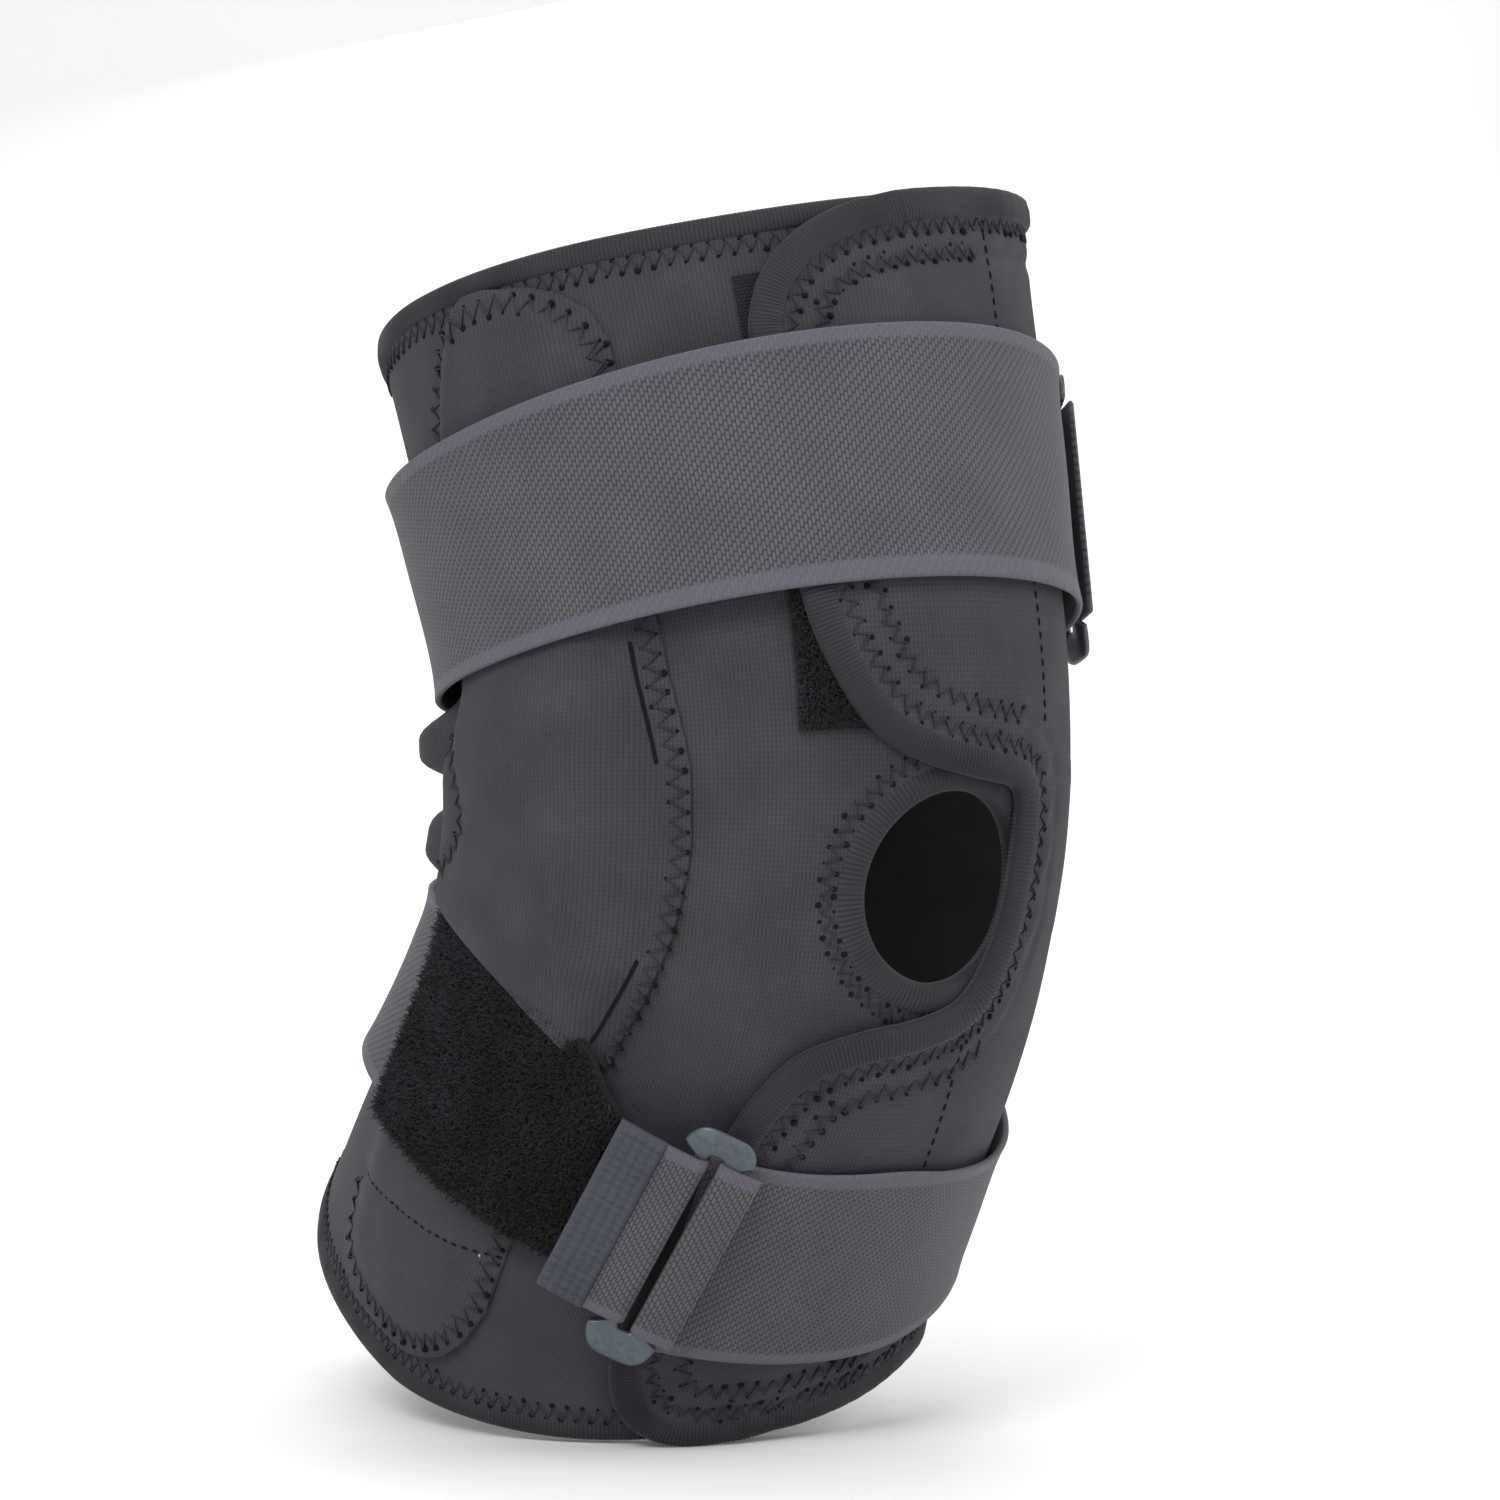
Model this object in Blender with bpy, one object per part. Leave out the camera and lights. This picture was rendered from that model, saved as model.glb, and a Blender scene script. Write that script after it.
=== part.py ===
"""Hinged wrap-around knee brace for a right leg, held bent as it is worn.

Units are metres and +Z is up. The origin is the middle of the knee's hinge axis, which runs along X:
-X is the outer (lateral) side, +X the inner (medial) side, -Y the front and +Y the back.

A place on the leg is given by two numbers: s, the distance along the leg from the knee (up the thigh is
positive), and phi, the angle round it in degrees (0 front, 90 outer side, 180 back, -90 inner side).
Layers are counted outward from the skin.
"""

import math

import bpy
import numpy as np

# Overall sizes
THIGH_LENGTH = 0.139
CALF_LENGTH = 0.139
GIRTH = 1.0  # multiplies every half-width and depth of the leg below
THIGH_LEAN = math.radians(15.0)  # the thigh's top leans back
CALF_LEAN = math.radians(-27.0)  # the calf's foot end leans back
BEND_REACH = 0.045  # the leg is straight beyond this distance from the knee

# Leg sections: s, half-width, depth in front, depth behind
SECTIONS = (
    (-0.145, 0.063, 0.063, 0.101),
    (-0.100, 0.066, 0.066, 0.088),
    (-0.050, 0.065, 0.068, 0.072),
    (0.000, 0.066, 0.073, 0.062),
    (0.050, 0.069, 0.078, 0.059),
    (0.100, 0.074, 0.081, 0.063),
    (0.150, 0.078, 0.083, 0.068),
)
HEM_SLANT = 0.006  # both hems are cut a little out of square
TOP_SLANT_PHI = -55.0
BOTTOM_SLANT_PHI = 130.0
TRIM_FROM = 0.72  # beyond this share of each length the hems are trimmed further
TOP_DIP = 0.005  # the top hem dips in front and behind, and rises at the sides
TOP_DIP_PHI = 20.0
TOP_DIP_ALL_ROUND = 0.4  # the share of the dip that is trimmed all round
BOTTOM_RAISE = 0.008  # the bottom hem rises to the inner front and falls to the outer back
BOTTOM_TILT = 0.016
BOTTOM_TILT_PHI = 117.0
WARP_LIMIT = 1.1  # the hem trims stop growing just past the hem

# Layers, counted outward
GAP = 0.0003
NEOPRENE = 0.0040
POPLITEAL = 0.0025
PATCH = 0.0008
FLAP = 0.0030
BEDDING = 0.0003  # extra room between stacked sheets, whose facets differ
TAPE_PROUD = 0.0004  # how far an edge binding stands above what it binds
STRAP = 0.0018
POCKET = 0.0015

# Closure flaps
FLAP_ROOT_PHI = -57.0
THIGH_FLAP_TIP_PHI = 30.0
CALF_FLAP_TIP_PHI = 37.0
FLAP_LIFT_FROM = -50.0
FLAP_LIFT_TO = -36.0
WRAP_EDGE_PHI = -33.0
FLAP_NEAR_KNEE = 0.0188
FLAP_CORNER = 0.034
FLAP_RIM_CORNER = 0.024
BINDING = 0.0075
PATCH_NEAR_KNEE = 0.046
PATCH_FROM_HEM = 0.018
HEM_BINDING = 0.0055

# Knee panels
PATELLA_RADIUS = 0.0235
PATELLA_PHI = 0.5
PANEL_FRONT_PHI = -33.0
PANEL_SIDE_PHI = 112.0
BACK_END_PHI = 262.0
CUTOUT_PHI = -14.0
BACK_EDGE_THIGH = 0.072  # the wraps are cut away behind the knee so that it can bend
BACK_EDGE_CALF = 0.080

# Pockets and hinges
POCKET_FROM_HEM = 0.008  # how far the pockets' ends stop short of the hems
POCKET_CORNER = 0.020  # how far their rounded corners draw back
POCKET_EASE = 0.0012  # room over the bar
COVER_EASE = 0.0013  # room over the hinge
COVER_LEAD_PHI = 5.5  # degrees before the hinge's front edge where the cover has risen fully
POCKET_PHI = (54.0, 103.0)
COVER_FRONT_PHI = 50.0
COVER_BEHIND = 0.0196  # how far the cover reaches behind the hinge head
BAR_WIDTH = 0.015
BAR_SPREAD = 7.0  # each bar leans this many degrees forward of the leg's axis
BAR_LENGTH = 0.116
BAR = 0.0016
HEAD_RADIUS = 0.015
RIVET_RADIUS = 0.0030
RIVET_HEAD_RADIUS = 0.0048
RIVET_HEAD = 0.0010
BORE_CLEARANCE = 0.0002
PIN_RADIUS = 0.0014
PIN_RING = 0.0098  # the stop pin's distance from the pivot
PIN_PHI = -3.0  # and its direction at rest, in degrees up from straight back
PAD = 0.0015
CAP = 0.0012
EXTEND = 42.0  # degrees from rest to the straight knee
FLEX = 48.0  # degrees from rest to the right-angled knee

# Straps
THIGH_STRAP = (0.043, 0.100)
CALF_STRAP = (-0.101, -0.0455)
CALF_PILE_STRAP = (-0.087, -0.0455)
CALF_BUCKLE = (-0.0945, -0.0430)
THIGH_BUCKLE_PHI = -66.0
CALF_BUCKLE_PHI = 39.0
THIGH_BUCKLE_TURN = 0.0  # degrees round the leg from the buckle's middle to where its ends lie
CALF_BUCKLE_TURN = 3.0
BUCKLE_WIRE = 0.0015  # radius of the buckle's bars
BUCKLE_SLOT = 0.0050  # between the buckle's two bars
BUCKLE_OVERHANG = 0.0045  # how far the buckle's ends stand past the strap
BUCKLE_LIFT = 0.0012  # clearance over the curved strap
TAIL_LENGTH = 0.0095
TAB_LENGTH = 0.012
TAB = 0.0022
LOOP_LENGTH = 0.008  # elastic laid back behind the buckle's other bar
THIGH_SEAM_PHI = 188.0  # where the elastic is sewn to the pile strap
CALF_SEAM_PHI = 110.0

LEG_RADIUS = 0.076  # turns a distance round the leg into an angle


def clear_scene():
    for old in list(bpy.data.objects):
        bpy.data.objects.remove(old, do_unlink=True)


def smooth(t):
    t = np.clip(t, 0.0, 1.0)
    return t * t * (3.0 - 2.0 * t)


def ramp(value, start, end):
    return smooth((np.asarray(value, float) - start) / (end - start))


def section(s):
    """Half-width, front depth and back depth of the leg at s, smoothly joined between the sections."""
    table = np.array(SECTIONS)
    places = table[:, 0]
    slopes = np.gradient(table, places, axis=0)
    s = np.clip(s, places[0], places[-1])
    i = np.clip(np.searchsorted(places, s) - 1, 0, len(places) - 2)
    span = places[i + 1] - places[i]
    t = ((s - places[i]) / span)[..., None]
    span = span[..., None]
    value = (
        (2 * t**3 - 3 * t**2 + 1) * table[i]
        + (t**3 - 2 * t**2 + t) * span * slopes[i]
        + (3 * t**2 - 2 * t**3) * table[i + 1]
        + (t**3 - t**2) * span * slopes[i + 1]
    )
    return value[..., 1] * GIRTH, value[..., 2] * GIRTH, value[..., 3] * GIRTH


def lean(s):
    return CALF_LEAN + np.clip((s + BEND_REACH) / (2 * BEND_REACH), 0, 1) * (THIGH_LEAN - CALF_LEAN)


def up(angle):
    return np.stack([0 * angle, np.sin(angle), np.cos(angle)], -1)


def back(angle):
    return np.stack([0 * angle, np.cos(angle), -np.sin(angle)], -1)


def middle(s):
    """The leg's centre line: straight along thigh and calf, an arc between them."""
    bend = THIGH_LEAN - CALF_LEAN
    radius = 2 * BEND_REACH / bend
    arc_centre = back(np.array((THIGH_LEAN + CALF_LEAN) / 2)) * radius / math.cos(bend / 2)
    beyond = np.where(s > BEND_REACH, s - BEND_REACH, np.where(s < -BEND_REACH, s + BEND_REACH, 0))
    angle = lean(s)
    return arc_centre - radius * back(angle) + up(angle) * beyond[..., None]


def hem_warp(s, phi):
    """Slants the two hems, and everything beyond the knee a little with them."""
    s = np.asarray(s, float)
    top_share = np.clip((s - BEND_REACH) / (THIGH_LENGTH - BEND_REACH), 0.0, WARP_LIMIT)
    bottom_share = np.clip((-s - BEND_REACH) / (CALF_LENGTH - BEND_REACH), 0.0, WARP_LIMIT)
    top = HEM_SLANT * np.cos(np.radians(phi - TOP_SLANT_PHI))
    bottom = -HEM_SLANT * np.cos(np.radians(phi - BOTTOM_SLANT_PHI))
    top_trim = np.clip((s / THIGH_LENGTH - TRIM_FROM) / (1 - TRIM_FROM), 0.0, WARP_LIMIT)
    bottom_trim = np.clip((-s / CALF_LENGTH - TRIM_FROM) / (1 - TRIM_FROM), 0.0, WARP_LIMIT)
    dip = -TOP_DIP * (TOP_DIP_ALL_ROUND + np.cos(2 * np.radians(phi - TOP_DIP_PHI)))
    tilt = BOTTOM_RAISE - BOTTOM_TILT * np.cos(np.radians(phi - BOTTOM_TILT_PHI))
    return s + top * top_share + bottom * bottom_share + dip * top_trim + tilt * bottom_trim


def on_leg(s, phi, out):
    """Points at s and phi, a distance out from the skin."""
    s, phi, out = np.broadcast_arrays(np.asarray(s, float), np.asarray(phi, float), np.asarray(out, float))
    s = hem_warp(s, phi)
    angle = np.radians(phi)
    width, front, behind = section(s)
    depth = np.where(np.cos(angle) > 0, front, behind)
    normal = np.stack([-depth * np.sin(angle), -width * np.cos(angle)], -1)
    normal /= np.linalg.norm(normal, axis=-1)[..., None]
    across = -width * np.sin(angle) + normal[..., 0] * out
    backward = -depth * np.cos(angle) + normal[..., 1] * out
    points = middle(s) + back(lean(s)) * backward[..., None]
    points[..., 0] += across
    return points


def finish(name, vertices, faces, slot, pivot):
    """One named object on its pivot empty, with its faces turned outward."""
    mesh = bpy.data.meshes.new(name)
    shifted = np.asarray(vertices) - np.array(pivot.location)
    mesh.from_pydata([tuple(map(float, v)) for v in shifted], [], [tuple(map(int, f)) for f in faces])
    mesh.validate()
    points = shifted
    total = 0.0
    for face in faces:
        for k in range(1, len(face) - 1):
            a, b, c = points[face[0]], points[face[k]], points[face[k + 1]]
            total += float(np.dot(a, np.cross(b, c)))
    if total < 0:
        mesh.flip_normals()
    mesh.shade_smooth()
    mesh.set_sharp_from_angle(angle=math.radians(35))
    mesh.materials.append(material(slot))
    made = bpy.data.objects.new(name, mesh)
    bpy.context.scene.collection.objects.link(made)
    made.parent = pivot
    return made


def material(slot):
    if slot in bpy.data.materials:
        return bpy.data.materials[slot]
    colour, roughness, metallic = FINISHES[slot]
    made = bpy.data.materials.new(slot)
    made.use_nodes = True
    shader = made.node_tree.nodes["Principled BSDF"]
    shader.inputs["Base Color"].default_value = (*colour, 1.0)
    shader.inputs["Roughness"].default_value = roughness
    shader.inputs["Metallic"].default_value = metallic
    return made


FINISHES = {
    "neoprene": ((0.070, 0.063, 0.080), 0.85, 0.0),
    "binding": ((0.045, 0.042, 0.052), 0.75, 0.0),
    "strap_elastic": ((0.135, 0.122, 0.145), 0.55, 0.0),
    "loop_pile": ((0.016, 0.016, 0.020), 0.95, 0.0),
    "hook_tape": ((0.010, 0.010, 0.012), 0.70, 0.0),
    "ribbed_tape": ((0.115, 0.145, 0.175), 0.60, 0.0),
    "buckle": ((0.260, 0.320, 0.340), 0.30, 0.9),
    "bar_metal": ((0.550, 0.560, 0.580), 0.35, 1.0),
    "rivet_metal": ((0.620, 0.620, 0.630), 0.30, 1.0),
    "hinge_cap": ((0.020, 0.020, 0.022), 0.45, 0.0),
    "pad_foam": ((0.035, 0.035, 0.038), 0.90, 0.0),
}


def shell(name, inner, outer, slot, pivot):
    """A closed sheet between two grids of points, of the same rows and columns."""
    rows, columns = inner.shape[:2]
    vertices = np.concatenate([inner.reshape(-1, 3), outer.reshape(-1, 3)])
    half = rows * columns
    faces = []
    for i in range(rows - 1):
        for j in range(columns - 1):
            a, b = i * columns + j, i * columns + j + 1
            c, d = b + columns, a + columns
            faces.append((a, b, c, d))
            faces.append((a + half, d + half, c + half, b + half))
    rim = [j for j in range(columns)]
    rim += [i * columns + columns - 1 for i in range(1, rows)]
    rim += [(rows - 1) * columns + j for j in range(columns - 2, -1, -1)]
    rim += [i * columns for i in range(rows - 2, 0, -1)]
    for a, b in zip(rim, rim[1:] + rim[:1]):
        faces.append((a, a + half, b + half, b))
    return finish(name, vertices, faces, slot, pivot)


def sheet(name, phis, low, high, rise, thick, slot, pivot, rows=4):
    """A sheet on the leg: at each phi it runs from low to high, at a rise above the skin."""
    phis = np.asarray(phis, float)
    low = np.broadcast_to(low(phis) if callable(low) else low, phis.shape)
    high = np.broadcast_to(high(phis) if callable(high) else high, phis.shape)
    v = np.linspace(0, 1, rows + 1)[None, :]
    s = low[:, None] * (1 - v) + high[:, None] * v
    phi = phis[:, None] + 0 * s
    out = rise(s, phi) if callable(rise) else rise + 0 * s
    return shell(name, on_leg(s, phi, out), on_leg(s, phi, out + thick), slot, pivot)


def band(name, inner_path, outer_path, rise, thick, slot, pivot, closed=False):
    """A tape between two matching paths of (s, phi)."""
    s = np.stack([inner_path[:, 0], outer_path[:, 0]], 1)
    phi = np.stack([inner_path[:, 1], outer_path[:, 1]], 1)
    out = rise(s, phi) if callable(rise) else rise + 0 * s
    low = on_leg(s, phi, out)
    high = on_leg(s, phi, out + thick)
    if not closed:
        return shell(name, low, high, slot, pivot)
    count = len(s)
    vertices = np.concatenate([low[:, 0], low[:, 1], high[:, 1], high[:, 0]])
    faces = []
    for i in range(count):
        j = (i + 1) % count
        for k in range(4):
            n = (k + 1) % 4
            faces.append((k * count + i, k * count + j, n * count + j, n * count + i))
    return finish(name, vertices, faces, slot, pivot)


def steps(start, end, width=7.5):
    return np.linspace(start, end, max(2, int(round(abs(end - start) / width)) + 1))


# Closure flaps and wraps


def flap_rise(s, phi):
    """The flap lies on the skin at its root and climbs over the wrap's edge and the closure patches."""
    over = NEOPRENE + 2 * PATCH + 3 * GAP + BEDDING
    return over * ramp(phi, FLAP_LIFT_FROM, FLAP_LIFT_TO)


def flap_path(sign, inset):
    """The flap's free edge, from its root at the knee round both corners to its root at the hem."""
    near = FLAP_NEAR_KNEE + inset
    far = (THIGH_LENGTH if sign > 0 else CALF_LENGTH) - inset
    turn = math.degrees(1 / LEG_RADIUS)
    tip = (THIGH_FLAP_TIP_PHI if sign > 0 else CALF_FLAP_TIP_PHI) - inset * turn
    r1, r2 = FLAP_CORNER - inset, FLAP_RIM_CORNER - inset
    path = [(near, phi) for phi in np.linspace(FLAP_ROOT_PHI, tip - r1 * turn, 9)[:-1]]
    for a in np.linspace(-90, 0, 8):
        path.append((near + r1 + r1 * math.sin(math.radians(a)), tip - r1 * turn * (1 - math.cos(math.radians(a)))))
    for a in np.linspace(0, 90, 7):
        path.append((far - r2 + r2 * math.sin(math.radians(a)), tip - r2 * turn * (1 - math.cos(math.radians(a)))))
    path += [(far, phi) for phi in np.linspace(tip - r2 * turn, FLAP_ROOT_PHI, 9)[1:]]
    path = np.array(path)
    path[:, 0] *= sign
    return path


def flap_body(name, sign, slot, pivot):
    """The flap inside its binding: its two edges are read from the inset path at each phi."""
    path = flap_path(sign, BINDING + GAP)
    turning = int(np.argmax(path[:, 1]))
    near, far = path[: turning + 1], path[turning:][::-1]
    tip = path[turning, 1]
    phis = np.concatenate([steps(FLAP_ROOT_PHI, 8.0, 5.0), np.linspace(8.0, tip - 0.2, 8)[1:]])
    low = np.interp(phis, near[:, 1], near[:, 0])
    high = np.interp(phis, far[:, 1], far[:, 0])
    return sheet(name, phis, lambda p: low, lambda p: high, flap_rise, FLAP, slot, pivot, rows=8)


def closure(part, sign, pivot):
    """A wrap round the back, its overlapping flap, their bindings and the hook and loop patches between."""
    length = THIGH_LENGTH if sign > 0 else CALF_LENGTH
    back_edge = BACK_EDGE_THIGH if sign > 0 else BACK_EDGE_CALF
    tip = THIGH_FLAP_TIP_PHI if sign > 0 else CALF_FLAP_TIP_PHI
    wrap_end = 360 + FLAP_ROOT_PHI - math.degrees(GAP / LEG_RADIUS) * 2
    phis = steps(WRAP_EDGE_PHI, wrap_end, 6.0)

    def knee_edge(phi):
        rise = ramp(phi, 100.0, 150.0) * (1 - ramp(phi, 212.0, 262.0))
        return sign * (BEND_REACH + GAP + (back_edge - BEND_REACH) * rise)

    hem = sign * (length - HEM_BINDING - GAP)
    sheet(part + "_wrap", phis, knee_edge, hem, 0.0, NEOPRENE, "neoprene", pivot, rows=4)
    sheet(part + "_hem_binding", phis, sign * (length - HEM_BINDING), sign * length, -0.0004,
          NEOPRENE + 0.0008, "binding", pivot, rows=1)
    flap_body(part + "_flap", sign, "neoprene", pivot)
    inner, outer = flap_path(sign, BINDING), flap_path(sign, 0.0)
    band(part + "_flap_binding", inner, outer, flap_rise, FLAP + TAPE_PROUD, "binding", pivot)
    low, high = sorted((sign * PATCH_NEAR_KNEE, sign * (length - PATCH_FROM_HEM)))
    patch_end = tip + 2.0 if sign > 0 else tip - 5.0
    sheet(part + "_loop_patch", steps(-26.0, patch_end, 5.0), low, high, NEOPRENE + GAP, PATCH,
          "loop_pile", pivot, rows=6)
    sheet(part + "_hook_patch", steps(-26.0, tip - 9.0, 5.0), low, high,
          NEOPRENE + PATCH + 2 * GAP, PATCH, "hook_tape", pivot, rows=6)


# Knee panels


def knee_panels(pivot):
    """The front panel with its patella hole, the inner-side panel, the thin panel behind the knee."""
    count = 48
    turn = math.degrees(1 / LEG_RADIUS)
    # the front is longer than the centre line
    stretch = 1 + float(section(np.array(0.0))[1]) * (THIGH_LEAN - CALF_LEAN) / (2 * BEND_REACH)
    angles = np.linspace(0, 2 * math.pi, count, endpoint=False)
    cos, sin = np.cos(angles), np.sin(angles)
    edge = BEND_REACH - GAP / 2

    def circle(radius):
        return np.stack([radius / stretch * sin, PATELLA_PHI + radius * turn * cos], 1)

    # outer border of the front panel: where a ray from the hole's middle leaves the panel's rectangle
    right = PANEL_SIDE_PHI - PATELLA_PHI
    left = PATELLA_PHI - PANEL_FRONT_PHI
    reach = np.where(cos > 0, right, left)
    scale = 1 / np.maximum(np.abs(cos) * turn * PATELLA_RADIUS / reach,
                           np.abs(sin) * PATELLA_RADIUS / stretch / edge)
    border = np.stack([scale * PATELLA_RADIUS / stretch * sin, PATELLA_PHI + scale * PATELLA_RADIUS * turn * cos], 1)
    for corner_phi in (PANEL_SIDE_PHI, PANEL_FRONT_PHI):
        for corner_s in (-edge, edge):
            nearest = int(np.argmin((border[:, 0] - corner_s) ** 2 * 4e4 + (border[:, 1] - corner_phi) ** 2 / 25))
            border[nearest] = (corner_s, corner_phi)
    inside = circle(PATELLA_RADIUS + BINDING + GAP)
    rings = []
    for t in (0.0, 0.35, 0.7, 1.0):
        rings.append(inside * (1 - t) + border * t)
    ring_s = np.stack([r[:, 0] for r in rings])
    ring_phi = np.stack([r[:, 1] for r in rings])
    low = on_leg(ring_s, ring_phi, 0.0)
    high = on_leg(ring_s, ring_phi, NEOPRENE)
    rows = len(rings)
    vertices = np.concatenate([low.reshape(-1, 3), high.reshape(-1, 3)])
    half = rows * count
    faces = []
    for j in range(count):
        n = (j + 1) % count
        for i in range(rows - 1):
            a, b, c, d = i * count + j, i * count + n, (i + 1) * count + n, (i + 1) * count + j
            faces.append((a, b, c, d))
            faces.append((a + half, d + half, c + half, b + half))
        faces.append((j, j + half, n + half, n))
        last = (rows - 1) * count
        faces.append((last + j, last + n, last + n + half, last + j + half))
    finish("knee_panel", vertices, faces, "neoprene", pivot)
    band("patella_binding", circle(PATELLA_RADIUS), circle(PATELLA_RADIUS + BINDING), -TAPE_PROUD,
         NEOPRENE + 2 * TAPE_PROUD, "binding", pivot, closed=True)

    seam = PANEL_SIDE_PHI + math.degrees(GAP / LEG_RADIUS) * 2
    thigh_back, calf_back = BACK_EDGE_THIGH - GAP, BACK_EDGE_CALF - GAP

    def back_high(phi):
        rise = ramp(phi, 100.0, 150.0) * (1 - ramp(phi, 212.0, 262.0))
        return edge + (thigh_back - edge) * rise

    def back_low(phi):
        rise = ramp(phi, 100.0, 150.0) * (1 - ramp(phi, 212.0, 262.0))
        return -edge - (calf_back - edge) * rise

    sheet("popliteal_panel", steps(seam, BACK_END_PHI, 8.0), back_low, back_high, 0.0, POPLITEAL,
          "neoprene", pivot, rows=6)

    start = BACK_END_PHI - 360 + math.degrees(GAP / LEG_RADIUS) * 2
    turn_back = FLAP_ROOT_PHI - 0.6
    end = CUTOUT_PHI - BINDING * turn
    phis = np.concatenate([steps(start, turn_back - 0.6), steps(turn_back, end)])
    near = FLAP_NEAR_KNEE - GAP
    tall = np.where(phis < turn_back - 0.3, edge, near)
    sheet("medial_knee_panel", phis, lambda p: -tall, lambda p: tall, medial_rise, FLAP, "neoprene", pivot)
    sheet("cutout_binding", steps(end + 0.25, CUTOUT_PHI, 3.0), -near, near, medial_rise,
          FLAP + TAPE_PROUD, "binding", pivot)


def medial_rise(s, phi):
    """The inner-side panel climbs over the front panel's edge and the ring round the patella."""
    ring_edge = PATELLA_PHI - math.degrees((PATELLA_RADIUS + BINDING) / LEG_RADIUS)
    over = NEOPRENE + TAPE_PROUD + GAP + BEDDING
    return over * ramp(phi, FLAP_ROOT_PHI - 1.0, ring_edge - 7.0) + 0 * s


# Hinge pockets and covers


def pocket_rise(low_phi, high_phi, height, level_from=0.25, level_to=0.78):
    """Sewn flat at both long edges and raised over the bar between."""

    def rise(s, phi):
        t = (np.abs(phi) - low_phi) / (high_phi - low_phi)
        dome = ramp(t, 0.03, level_from) * (1 - ramp(t, level_to, 0.98))
        return NEOPRENE + GAP + height(s) * dome

    return rise


def pockets(side, mirror, thigh, calf):
    low, high = POCKET_PHI
    if mirror > 0:
        low_phi, high_phi = low, high
        phis = steps(low_phi, high_phi, 5.0)
    else:
        low_phi, high_phi = max(low, -FLAP_ROOT_PHI + 3.0), high
        phis = -steps(low_phi, high_phi, 5.0)
    centre, half = (low_phi + high_phi) / 2, (high_phi - low_phi) / 2
    lift = 2 * GAP + BAR + POCKET_EASE

    def rounded(sign, length):
        def far(phi):
            u = np.clip((np.abs(phi) - centre) / half, -1, 1)
            return sign * (length - POCKET_CORNER * (1 - np.sqrt(np.maximum(0.0, 1 - np.abs(u) ** 3))))

        return far

    for part, sign, pivot in (("thigh", 1, thigh), ("calf", -1, calf)):
        length = (THIGH_LENGTH if sign > 0 else CALF_LENGTH) - POCKET_FROM_HEM
        sheet(f"{side}_{part}_pocket", phis, sign * (BEND_REACH + GAP), rounded(sign, length),
              pocket_rise(low_phi, high_phi, lambda s: lift + 0 * s), POCKET, "neoprene", pivot, rows=4)
    head = math.degrees(HEAD_RADIUS / LEG_RADIUS)
    low_cover, high_cover = COVER_FRONT_PHI, 90.0 + head + math.degrees(COVER_BEHIND / LEG_RADIUS)
    if mirror < 0:
        low_cover = max(low_cover, -FLAP_ROOT_PHI + 3.0)
    level_from = min(0.25, (90.0 - head - COVER_LEAD_PHI - low_cover) / (high_cover - low_cover))
    level_to = (90.0 + head + 0.5 - low_cover) / (high_cover - low_cover)
    width, _, behind = section(np.array(0.0))
    falls_away = HEAD_RADIUS**2 * width / (2 * behind**2)  # how far the leg curves away under the hinge's edge
    full = hinge_stack()["cap"][1] - width - NEOPRENE + falls_away + COVER_EASE
    edge = BEND_REACH - GAP / 2

    def height(s):
        return lift + (full - lift) * (1 - ramp(np.abs(s), HEAD_RADIUS - 0.001, BEND_REACH - 0.001))

    sheet(f"{side}_hinge_cover", mirror * steps(low_cover, high_cover, 4.5), -edge, edge,
          pocket_rise(low_cover, high_cover, height, level_from, level_to), POCKET, "neoprene", thigh, rows=10)


def hinge_stack():
    """Distances from the middle plane of each layer of a hinge, leg side first."""
    width = float(section(np.array(0.0))[0])
    pad = width + NEOPRENE + 0.0008
    calf_bar = pad + PAD + GAP
    thigh_bar = calf_bar + BAR + GAP
    cap = thigh_bar + BAR + GAP
    return {
        "pad": (pad, pad + PAD),
        "calf_bar": (calf_bar, calf_bar + BAR),
        "thigh_bar": (thigh_bar, thigh_bar + BAR),
        "cap": (cap, cap + CAP),
    }


def disc(name, radius, low, high, slot, pivot, mirror, hole=0.0, centre=(0.0, 0.0), sides=32):
    """A flat disc or ring across the hinge, between two distances from the middle plane."""
    angles = np.linspace(0, 2 * math.pi, sides, endpoint=False)
    y, z = centre[0] + radius * np.cos(angles), centre[1] + radius * np.sin(angles)
    outer = [np.stack([-mirror * x + 0 * y, y, z], 1) for x in (low, high)]
    faces = []
    if hole:
        y, z = centre[0] + hole * np.cos(angles), centre[1] + hole * np.sin(angles)
        inner = [np.stack([-mirror * x + 0 * y, y, z], 1) for x in (low, high)]
        vertices = np.concatenate([outer[0], outer[1], inner[1], inner[0]])
        for i in range(sides):
            j = (i + 1) % sides
            for k in range(4):
                n = (k + 1) % 4
                faces.append((k * sides + i, k * sides + j, n * sides + j, n * sides + i))
    else:
        vertices = np.concatenate(outer)
        faces.append(tuple(range(sides)))
        faces.append(tuple(range(2 * sides - 1, sides - 1, -1)))
        for i in range(sides):
            j = (i + 1) % sides
            faces.append((i, i + sides, j + sides, j))
    return finish(name, vertices, faces, slot, pivot)


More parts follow.
